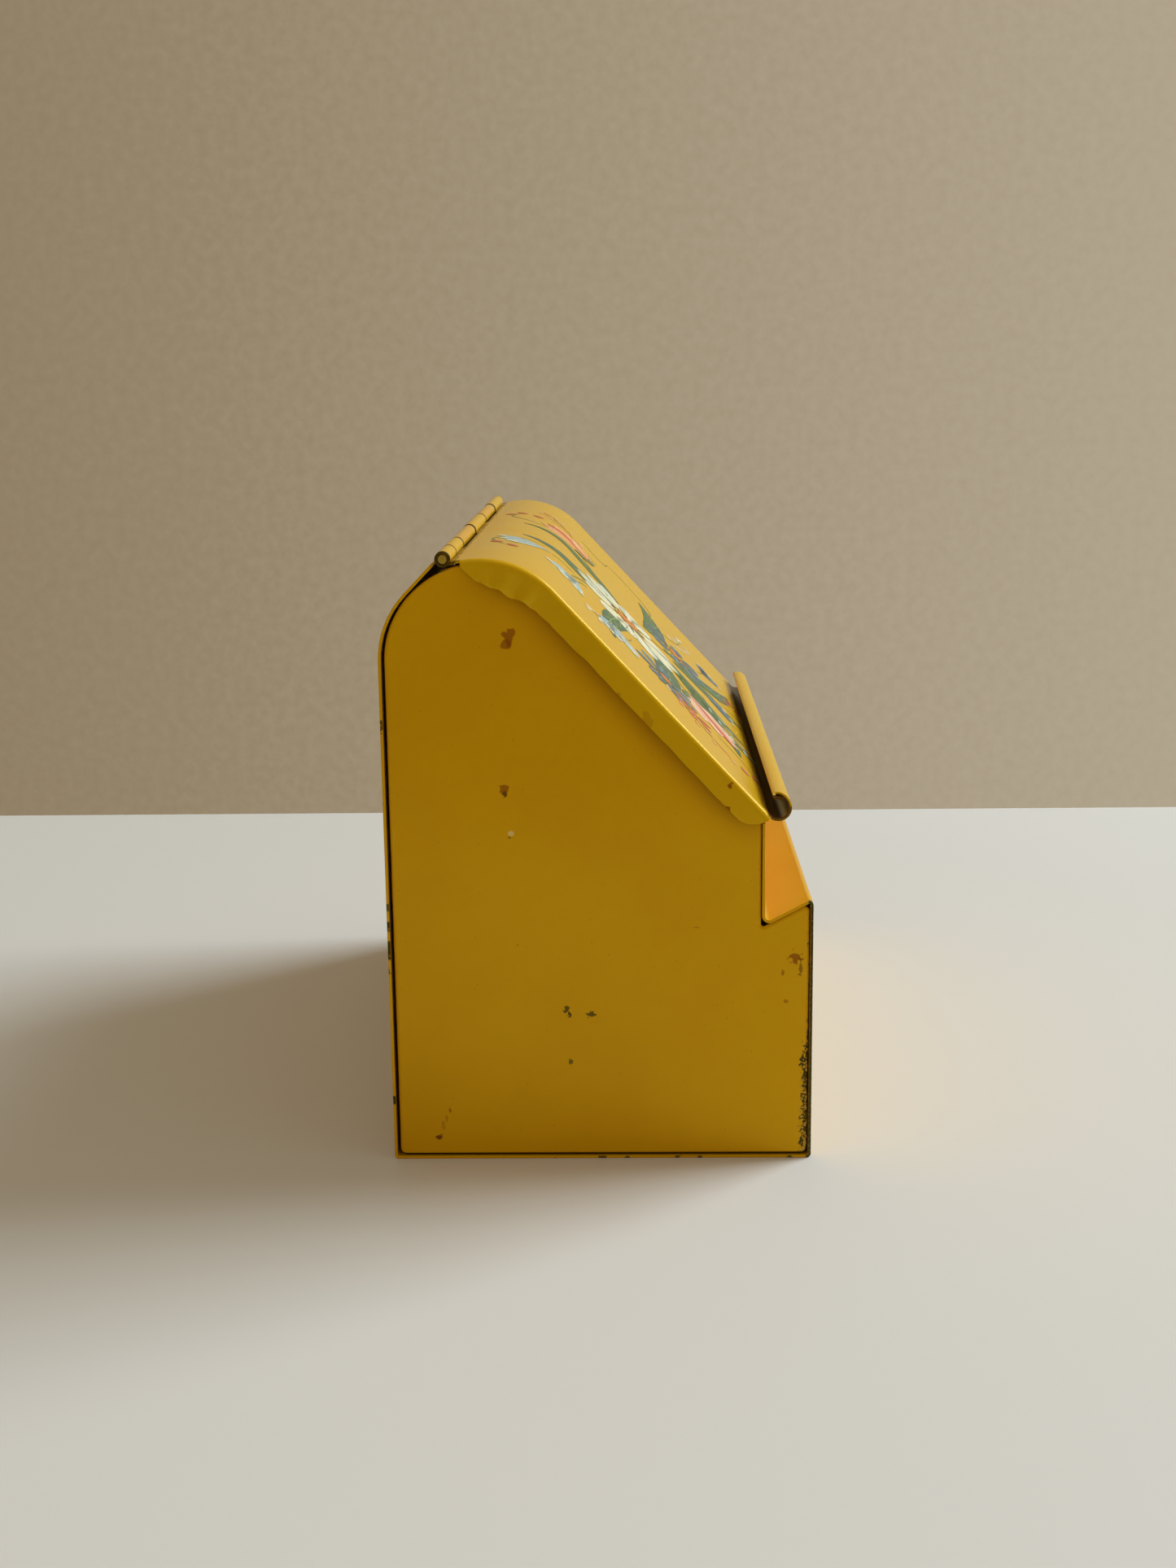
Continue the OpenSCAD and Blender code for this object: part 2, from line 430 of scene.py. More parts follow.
# Dark grime; also laid as painted shade in the hinge's gaps, along the fold under the knuckles and in the
# hollow of the lip.
GRIME_AND_SHADE = (0.050, 0.019, 0.004)
INSIDE_YELLOW = (0.66, 0.36, 0.006)
WIRE = (0.42, 0.27, 0.04)
DUST = (0.19, 0.11, 0.02)
DEEPER = (0.93, 0.87, 0.6)
WARM_SHEEN = (1.0, 0.88, 0.1, 1.0)
BODY_IOR = 1.66
LIGHT_WEAR = 0.3
CALM_REACH = (3 * MM, 12 * MM)
CHIP_SINK = -0.05
CHIP_ROUGHNESS = 0.35
RELIEF = 0.6


@dataclass
class Graph:
    """A node tree that is being laid out."""

    tree: bpy.types.NodeTree

    def node(
        self, kind: str, settings: dict[str, object] | None = None, **sockets: object
    ) -> bpy.types.Node:
        """Adds a node.

        Args:
            kind: Type of the node, without its ShaderNode prefix.
            settings: Properties of the node.
            sockets: Values of its inputs, or the sockets that feed them, with _ for a space. An
                input is named a0, a1 and so on where several share one name.

        Returns:
            The new node.
        """
        made = self.tree.nodes.new(kind if kind.startswith("Node") else f"ShaderNode{kind}")
        for key, value in (settings or {}).items():
            setattr(made, key, value)
        for key, value in sockets.items():
            self.feed(self.input(made, key), value)
        return made

    @staticmethod
    def input(node: bpy.types.Node, key: str) -> Socket:
        """Finds an input by its name, or by its number as a0, a1 and so on."""
        if key[0] == "a" and key[1:].isdigit():
            return node.inputs[int(key[1:])]
        return node.inputs[key.replace("_", " ")]

    def feed(self, socket: Socket, value: object) -> None:
        """Links a socket to an input, or sets the input's own value."""
        if isinstance(value, Socket):
            self.tree.links.new(value, socket)
        else:
            socket.default_value = value

    def math(self, operation: str, *values: object) -> Socket:
        """Adds a maths node and returns its result."""
        sockets = {f"a{i}": value for i, value in enumerate(values)}
        return self.node("Math", {"operation": operation}, **sockets).outputs[0]

    def vector(self, operation: str, *values: object) -> bpy.types.Node:
        """Adds a vector maths node."""
        sockets = {f"a{i}": value for i, value in enumerate(values)}
        return self.node("VectorMath", {"operation": operation}, **sockets)

    def ramp(self, value: Socket, low: float, high: float, to_low: float = 0, to_high: float = 1) -> Socket:
        """Maps a value smoothly from one range to another."""
        ends = {"From_Min": low, "From_Max": high, "To_Min": to_low, "To_Max": to_high}
        return self.node("MapRange", {"interpolation_type": "SMOOTHSTEP"}, Value=value, **ends).outputs[0]

    def mix(self, factor: object, under: object, over: object) -> Socket:
        """Lays one colour over another by a factor."""
        return self.node("Mix", {"data_type": "RGBA"}, a0=factor, a6=under, a7=over).outputs[2]

    def number(self, factor: object, under: object, over: object) -> Socket:
        """Goes from one number to another by a factor."""
        return self.node("Mix", {"data_type": "FLOAT"}, a0=factor, a2=under, a3=over).outputs[0]

    def noise(self, place: Socket, scale: object, detail: float = 2.0, roughness: float = 0.5) -> Socket:
        """Adds a noise of a scale in cells to the metre."""
        sockets = {"Vector": place, "Scale": scale, "Detail": detail, "Roughness": roughness}
        return self.node("TexNoise", **sockets).outputs[0]

    def swing(self, noise: Socket) -> Socket:
        """Shifts a noise so that it swings about 0."""
        return self.math("SUBTRACT", noise, 0.5)

    def group(self, group: bpy.types.NodeTree, **sockets: object) -> bpy.types.Node:
        """Adds a node group and feeds its inputs."""
        return self.node("Group", {"node_tree": group}, **sockets)


def new_material(name: str) -> tuple[Graph, Material]:
    """Starts a material with an empty node tree."""
    material = bpy.data.materials.new(name)
    material.use_nodes = True
    material.node_tree.nodes.clear()
    return Graph(material.node_tree), material


def new_group(
    name: str, inputs: dict[str, object], outputs: dict[str, str]
) -> tuple[Graph, dict[str, Socket], bpy.types.Node]:
    """Starts a node group.

    Args:
        name: Name of the group.
        inputs: Name and default of each input: a number, a colour or a place.
        outputs: Name and socket type of each output, without the NodeSocket prefix.

    Returns:
        The graph inside, its inputs by name, and its output node.
    """
    tree = bpy.data.node_groups.new(name, "ShaderNodeTree")
    kinds = {float: "Float", tuple: "Color", Vector: "Vector"}
    for key, value in inputs.items():
        kind = f"NodeSocket{kinds[type(value)]}"
        tree.interface.new_socket(key, in_out="INPUT", socket_type=kind).default_value = value
    for key, kind in outputs.items():
        tree.interface.new_socket(key, in_out="OUTPUT", socket_type=f"NodeSocket{kind}")
    graph = Graph(tree)
    entry = graph.node("NodeGroupInput")
    leave = graph.node("NodeGroupOutput")
    return graph, {socket.name: socket for socket in entry.outputs}, leave


class Groups:
    """Node groups that several finishes share."""

    def __init__(self) -> None:
        """Builds every group once."""
        self.spot = self.make_spot()
        self.baked_enamel = self.make_baked_enamel()
        self.chipped_edge = self.make_chipped_edge()

    @staticmethod
    def make_spot() -> bpy.types.NodeTree:
        """Builds a ragged spot round a place: 1 inside and 0 outside."""
        inputs = {"Place": Vector(), "Centre": Vector(), "Size": Vector((1, 1, 1))}
        inputs |= {"Ragged": 0.6, "Grain": 900.0}
        graph, given, leave = new_group("ragged_spot", inputs, {"Mask": "Float"})
        away = graph.vector("SUBTRACT", given["Place"], given["Centre"]).outputs[0]
        scaled = graph.vector("DIVIDE", away, given["Size"]).outputs[0]
        distance = graph.vector("LENGTH", scaled).outputs["Value"]
        grain = graph.noise(given["Place"], given["Grain"], 3.0)
        ragged = graph.math("MULTIPLY", graph.swing(grain), given["Ragged"])
        rough = graph.math("ADD", distance, graph.math("MULTIPLY", ragged, 4.0))
        graph.feed(leave.inputs["Mask"], graph.ramp(rough, 1.05, 0.8))
        return graph.tree

    @staticmethod
    def make_baked_enamel() -> bpy.types.NodeTree:
        """Builds the tone, sheen and skin of brushed-on baked enamel."""
        inputs = {"Place": Vector(), "Colour": (0.8, 0.5, 0.02, 1.0), "Roughness": 0.3, "Uneven": 1.0}
        outputs = {"Colour": "Color", "Roughness": "Float", "Height": "Float"}
        graph, given, leave = new_group("baked_enamel", inputs, outputs)
        place = given["Place"]
        cloudy = graph.noise(place, 42.0, 4.0, 0.55)
        specks = graph.node("TexVoronoi", Vector=place, Scale=420.0)
        deeper = graph.vector("MULTIPLY", given["Colour"], DEEPER).outputs[0]
        cloud = graph.ramp(cloudy, 0.4, 0.68)
        tone = graph.mix(graph.math("MULTIPLY", cloud, 0.5), given["Colour"], deeper)
        dust = graph.math("MULTIPLY", graph.ramp(specks.outputs["Distance"], 0.07, 0.03), 0.35)
        graph.feed(leave.inputs["Colour"], graph.mix(dust, tone, (*DUST, 1.0)))
        smear = graph.math("MULTIPLY", graph.swing(cloudy), 0.22)
        graph.feed(leave.inputs["Roughness"], graph.math("ADD", given["Roughness"], smear))
        waves = graph.math("MULTIPLY", graph.noise(place, 55.0, 1.0), given["Uneven"])
        slow = graph.math("MULTIPLY", waves, 0.16)
        skin = graph.math("MULTIPLY", graph.noise(place, 1500.0), 0.006)
        graph.feed(leave.inputs["Height"], graph.math("ADD", slow, skin))
        return graph.tree

    @staticmethod
    def make_chipped_edge() -> bpy.types.NodeTree:
        """Builds chips that eat into the paint from an edge, by the distance to it in metres."""
        inputs = {"Place": Vector(), "Distance": 1.0, "Reach": 0.0006, "Grain": 700.0, "Amount": 0.5}
        graph, given, leave = new_group("chipped_edge", inputs, {"Mask": "Float"})
        grain = graph.noise(given["Place"], given["Grain"], 5.0, 0.65)
        near = graph.math("SUBTRACT", 1.0, graph.math("DIVIDE", given["Distance"], given["Reach"]))
        near = graph.math("MAXIMUM", near, 0.0)
        worn = graph.math("MULTIPLY_ADD", graph.swing(grain), 2.4, near)
        level = graph.math("SUBTRACT", 1.0, given["Amount"])
        mask = graph.ramp(graph.math("SUBTRACT", worn, level), 0.0, 0.12)
        inside = graph.math("GREATER_THAN", near, 0.0)
        graph.feed(leave.inputs["Mask"], graph.math("MULTIPLY", mask, inside))
        return graph.tree


@dataclass
class Skin:
    """Look of an enamelled surface while its wear, grime and painted shade are laid on.

    Attributes:
        graph: The material's graph.
        groups: The shared node groups.
        place: Where the surface is.
        tone: Its colour.
        worn: How far the enamel is worn off it.
    """

    graph: Graph
    groups: Groups
    place: Socket
    tone: Socket
    worn: object = 0.0

    @property
    def axes(self) -> Sequence[Socket]:
        """Gives the X, Y and Z of the place."""
        return self.graph.node("SeparateXYZ", Vector=self.place).outputs

    @property
    def flat(self) -> Socket:
        """Gives the place without its X."""
        return self.graph.vector("MULTIPLY", self.place, (0, 1, 1)).outputs[0]

    def lay(self, colour: Colour, *masks: object, strength: float = 1.0, worn: float = 1.0) -> None:
        """Lays a colour over the tone.

        Args:
            colour: The colour.
            masks: Where it lies: their product.
            strength: How much of the tone it hides.
            worn: How far it counts as worn enamel.
        """
        share = self.all_of(*masks, strength)
        self.tone = self.graph.mix(share, self.tone, (*colour, 1.0))
        self.worn = self.graph.math("MAXIMUM", self.worn, self.graph.math("MULTIPLY", share, worn))

    def broken(self, scale: float, low: float, high: float, detail: float = 3.0) -> Socket:
        """Gives a broken mask of grains of a scale in cells to the metre."""
        return self.graph.ramp(self.graph.noise(self.place, scale, detail), low, high)

    def all_of(self, *masks: object) -> Socket:
        """Multiplies masks together."""
        result = masks[0]
        for mask in masks[1:]:
            result = self.graph.math("MULTIPLY", result, mask)
        return result

    def from_axis(self, at: Point) -> Socket:
        """Gives the distance from a line along X at a side-view place in millimetres."""
        return self.graph.vector("DISTANCE", self.flat, Vector((0, *at)) * MM).outputs["Value"]

    def fade(self, value: Socket, none: float, full: float) -> Socket:
        """Goes smoothly from 0 at one value in millimetres to 1 at another."""
        return self.graph.ramp(value, none * MM, full * MM)

    def between(self, value: Socket, low: float, high: float, soft: float) -> Socket:
        """Gives 1 between two values in millimetres, fading over a soft border."""
        return self.all_of(self.fade(value, low - soft, low), self.fade(value, high + soft, high))

    def short_of(self, reach: float, value: Socket) -> Socket:
        """Gives how far a value is from a reach in millimetres on its own side of 0."""
        return self.graph.math("SUBTRACT", reach * MM, self.graph.math("ABSOLUTE", value))

    def chips(self, edge: Socket, reach: float, amount: object, grain: float = 700.0) -> Socket:
        """Gives a mask of chips that eat into the enamel from an edge.

        Args:
            edge: Distance to the edge in metres.
            reach: How far they eat in, in millimetres.
            amount: How much of the edge they take.
            grain: How fine they are, in cells to the metre.

        Returns:
            The mask.
        """
        sockets = {"Distance": edge, "Reach": reach * MM, "Amount": amount, "Grain": grain}
        return self.graph.group(self.groups.chipped_edge, Place=self.place, **sockets).outputs[0]


@dataclass(frozen=True)
class Mark:
    """A worn place in the enamel, in millimetres.

    Attributes:
        place: Its middle.
        size: Its reach along X, Y and Z.
        colour: What shows there.
        strength: How much of the enamel it hides.
        ragged: How broken its outline is.
        grain: How fine its outline is, in cells to the metre.
    """

    place: tuple[float, float, float]
    size: tuple[float, float, float]
    colour: Colour
    strength: float = 0.9
    ragged: float = 0.7
    grain: float = 900.0

    def lay(self, skin: Skin) -> None:
        """Lays the mark on a surface."""
        spot = skin.graph.group(
            skin.groups.spot,
            Place=skin.place,
            Centre=Vector(self.place) * MM,
            Size=Vector(self.size) * MM,
            Ragged=self.ragged,
            Grain=self.grain,
        )
        skin.lay(self.colour, spot.outputs[0], strength=self.strength, worn=LIGHT_WEAR)


@dataclass(frozen=True)
class Enamel:
    """Baked enamel on tinplate, with its chips, marks, grime and painted shade.

    Attributes:
        name: Name of the material.
        colour: Colour of the fresh enamel.
        roughness: Its roughness.
        ior: Its refractive index, which sets how strongly it mirrors.
        uneven: How wavy its skin is.
        calm: Side-view place of a line along X, in millimetres, that has no waves round it.
        marks: Its worn places.
    """

    name: str
    colour: Colour = BODY_YELLOW
    roughness: float = 0.2
    ior: float = 1.58
    uneven: float = 1.0
    calm: Point = (0.0, 0.0)
    marks: tuple[Mark, ...] = ()

    def build(
        self, groups: Groups, detail: Callable[[Skin], None] | None = None
    ) -> Material:
        """Builds the material.

        Args:
            groups: The shared node groups.
            detail: Lays the piece's own chips, grime and painted shade on the skin.

        Returns:
            The new material.
        """
        graph, material = new_material(self.name)
        place = graph.node("TexCoord").outputs["Object"]
        skin = Skin(graph, groups, place, place)
        coat = graph.group(
            groups.baked_enamel,
            Place=place,
            Colour=(*self.colour, 1.0),
            Roughness=self.roughness,
            Uneven=graph.ramp(skin.from_axis(self.calm), *CALM_REACH, 0, self.uneven),
        ).outputs
        skin.tone = coat["Colour"]
        if detail:
            detail(skin)
        for mark in self.marks:
            mark.lay(skin)
        height = graph.math("MULTIPLY_ADD", skin.worn, CHIP_SINK, coat["Height"])
        bump = graph.node("Bump", Height=height, Distance=MM, Strength=RELIEF)
        rough = graph.math("MULTIPLY_ADD", skin.worn, CHIP_ROUGHNESS, coat["Roughness"])
        shader = graph.node(
            "BsdfPrincipled",
            Base_Color=skin.tone,
            Roughness=rough,
            Normal=bump.outputs[0],
            IOR=self.ior,
            Specular_Tint=WARM_SHEEN,
        )
        graph.node("OutputMaterial", Surface=shader.outputs[0])
        return material


def inner_enamel(groups: Groups) -> Material:
    """Gives the thin, duller enamel of the inside, built once."""
    name = "inside_enamel"
    return bpy.data.materials.get(name) or Enamel(name, INSIDE_YELLOW, 0.36, uneven=0.6).build(groups)


def paint_hinge_shade(skin: Skin, plan: Plan, strength: float) -> None:
    """Paints shade, with some grime, on the ends of the hinge's knuckles, where the gaps between them fall
    dark, and by a strength a painted shadow along the fold beneath them.
    """
    graph = skin.graph
    away = skin.from_axis(plan.pin)
    outer = plan.knuckle_radius
    cut = plan.knuckle_gap / 2
    pitch = plan.width / plan.knuckles
    shifted = graph.math("ADD", skin.axes[0], ((plan.knuckles + 1) * pitch - plan.width / 2) * MM)
    past = graph.math("SUBTRACT", graph.math("MODULO", shifted, pitch * MM), pitch / 2 * MM)
    grain = graph.swing(graph.noise(skin.place, 1200, 3.0))
    gap = graph.math("MULTIPLY_ADD", grain, 0.4 * MM, skin.short_of(pitch / 2, past))
    ends = skin.fade(gap, cut + 0.9, cut + 0.6)
    # Painted shade of the gaps between the knuckles, on their ends.
    skin.lay(GRIME_AND_SHADE, ends, skin.fade(away, outer + 0.3, outer + 0.1), strength=0.9)
    # Painted shadow along the fold beneath the knuckles, broken with grime.
    fold = skin.fade(away, outer + 0.12, outer + 0.3), skin.fade(away, outer + 1.3, outer + 0.6)
    skin.lay(GRIME_AND_SHADE, *fold, skin.broken(500, 0.2, 0.5), strength=strength, worn=LIGHT_WEAR)


# ---------------------------------------------------------------- folded strip


@dataclass
class BodyWrap:
    """The strip of sheet that is folded into riser, ledge, front, bottom, back and rounded top."""

    plan: Plan
    corner: float = 0.45
    fold: float = 0.5
    valley_bend: float = 1.0
    crown_bend: float = 15.95
    crown_turn: float = 44.0
    cut_gap: float = 0.4
    tab_bend: float = 1.0
    hem: float = 0.4
    hem_leg: float = 2.6
    hem_inset: float = 5.0
    riser_top: float = 60.2
    chip_reach: float = 0.8
    chip_amounts: Point = (0.35, 0.95)
    front_fade: Point = (1.0, 0.75)
    back_fade: Point = (2.6, 2.2)
    rim_fade: Point = (0.5, 0.3)
    back_chips: tuple[Point, ...] = ((41.2, 42.6), (36.2, 39.2), (10.2, 11.4))
    name: str = "body_sheet"

    def tab_stations(self) -> list[Point]:
        """Gives the ends along X of the strip's two hinge tabs."""
        return self.plan.knuckle_spans(1)

    def crosswise(self) -> list[float]:
        """Gives the X of every lengthwise line of the strip."""
        edge = self.plan.width / 2
        stops = {x for span in self.tab_stations() for x in span}
        stops |= {-edge, edge, self.hem_inset - edge, edge - self.hem_inset}
        return sorted(stops)

    def build(self, groups: Groups) -> Piece:
        """Folds the strip, curls its tabs round the pin and dresses it."""
        plan = self.plan
        front, back = plan.half - plan.depth / 2, plan.depth / 2 - plan.half
        xs = self.crosswise()
        start = (plan.riser_y, self.riser_top - 2 * self.hem)
        valley_z = plan.front_height - plan.recess_depth * math.tan(math.radians(plan.ledge_slope))
        top_line = 90 + self.crown_turn
        crown_tangent = self.crown_bend * math.tan(math.radians(self.crown_turn / 2))
        vertex = (back, plan.crown_height + crown_tangent)
        along = heading((0, 0), polar((0, 0), 1, top_line))
        reach = (plan.pin[0] - vertex[0]) * math.cos(math.radians(along))
        reach += (plan.pin[1] - vertex[1]) * math.sin(math.radians(along))
        cut = polar(vertex, reach - plan.knuckle_radius - self.cut_gap, top_line)
        root = polar(cut, -1.5 * self.tab_bend, top_line)

        piece = start_vertex(self.name, Vector((xs[0], *start)) * MM)
        draw = Bench((xs[0], 0), 0, Vector((1, 0, 0)), Vector((0, 1, 0)))
        for low, high in pairwise(xs):
            draw.run(high - low)
        bpy.ops.mesh.select_all(action="SELECT")
        points = [
            (plan.riser_y, valley_z),
            (front, plan.front_height),
            (front, plan.half),
            (back, plan.half),
            vertex,
            root,
        ]
        radii = [self.valley_bend, self.fold, self.corner, self.corner, self.crown_bend]
        Bench(start, 270).fold(points, radii, step=6)
        self.turn_hem(piece, start, xs)
        self.end_edges(piece, root)
        self.curl_tabs(piece, root, cut, top_line)
        close_up(piece, Vector((0, plan.depth / 2 + 1, plan.crown_height / 2)))
        finish = Enamel("body_sheet_enamel", ior=BODY_IOR, calm=plan.pin, marks=self.marks())
        coat(piece, finish.build(groups, self.wear), inner_enamel(groups))
        thicken(piece, plan.sheet)
        coat_round(piece, plan.pin, plan.knuckle_radius + 0.1)
        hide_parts("body_wrap")
        dress(piece, "box")
        return piece

    def turn_hem(self, piece: Piece, start: Point, xs: Sequence[float]) -> None:
        """Turns the top edge of the riser over to the inside."""
        select_ring(piece, start, xs[1], xs[-2])
        bench = Bench(start, 90).run(self.hem)
        bench.bend(self.hem, -180, 12).run(self.hem_leg)

    def end_edges(self, piece: Piece, root: Point) -> None:
        """Runs the strip on to its cut edge beside the tabs."""
        edge = self.plan.width / 2
        stops = [-edge, *(x for span in self.tab_stations() for x in span), edge]
        for low, high in zip(stops[::2], stops[1::2]):
            select_ring(piece, root, low, high)
            Bench(root, 90 + self.crown_turn).run(1.5 * self.tab_bend)

    def curl_tabs(self, piece: Piece, root: Point, cut: Point, line: float) -> None:
        """Bends each tab under the pin and curls it round."""
        plan = self.plan
        radius = plan.pin_radius + plan.half
        tab = heading(cut, plan.pin) + math.degrees(math.asin(radius / math.dist(plan.pin, cut)))
        touch = polar(plan.pin, radius, tab + 90)
        for low, high in self.tab_stations():
            select_ring(piece, root, low, high)
            bench = Bench(root, line).fold([cut, touch], [self.tab_bend], step=8)
            bench.bend(radius, -plan.curl_sweep, plan.curl_steps)

    def marks(self) -> tuple[Mark, ...]:
        """Gives the few scuffs of the back and the front."""
        y = self.plan.depth / 2
        return (
            Mark((-22.0, y, 58.0), (0.7, 1, 0.5), SMUDGE, 0.6, 0.9, 1300),
            Mark((31.0, y, 22.4), (0.5, 1, 0.8), BARE_AND_SEAM_SHADE, 0.7, 0.9, 1500),
            Mark((8.0, y, 71.0), (3.0, 1, 0.2), SMUDGE, 0.3, 0.6, 1300),
            Mark((-48.0, y, 12.0), (0.9, 1, 0.5), SCAB, 0.7, 0.9, 1300),
            Mark((44.0, -y, 11.0), (0.6, 1, 0.7), SCAB, 0.8, 0.9, 1500),
            Mark((-35.0, -y, 30.0), (1.8, 1, 0.2), SMUDGE, 0.35, 0.6, 1300),
            Mark((12.0, -y, 37.0), (0.4, 1, 0.4), PALE_CHIP, 0.7, 0.8, 1500),
        )

    def wear(self, skin: Skin) -> None:
        """Lays on the bare front edges, a few chips down the back, and the painted shade and grime at the
        hinge.
        """
        graph = skin.graph
        x, y, z = skin.axes
        face = self.plan.depth / 2
        top = self.plan.front_height
        out = skin.short_of(self.plan.width / 2, x)
        front = skin.fade(y, *(fade - face for fade in self.front_fade)), skin.fade(z, top + 1, top)
        chips = skin.chips(out, self.chip_reach, graph.ramp(x, 0.01, -0.01, *self.chip_amounts))
        skin.lay(BARE_AND_SEAM_SHADE, chips, *front)
        skin.lay(STEEL, chips, *front, skin.broken(2600, 0.54, 0.62), strength=0.7)
        rim = skin.fade(out, *self.rim_fade)
        skin.lay(BARE_AND_SEAM_SHADE, rim, skin.broken(330, 0.64, 0.66), strength=0.85)
        back = skin.fade(y, *(face - fade for fade in self.back_fade))
        for low, high in self.back_chips:
            spot = skin.between(z, low, high, 0.3)
            skin.lay(BARE_AND_SEAM_SHADE, back, rim, spot, skin.broken(900, 0.34, 0.42))
        paint_hinge_shade(skin, self.plan, 0.35)


# ---------------------------------------------------------------- end pans


class End(Enum):
    """The two ends of the box."""

    LEFT = -1
    RIGHT = 1


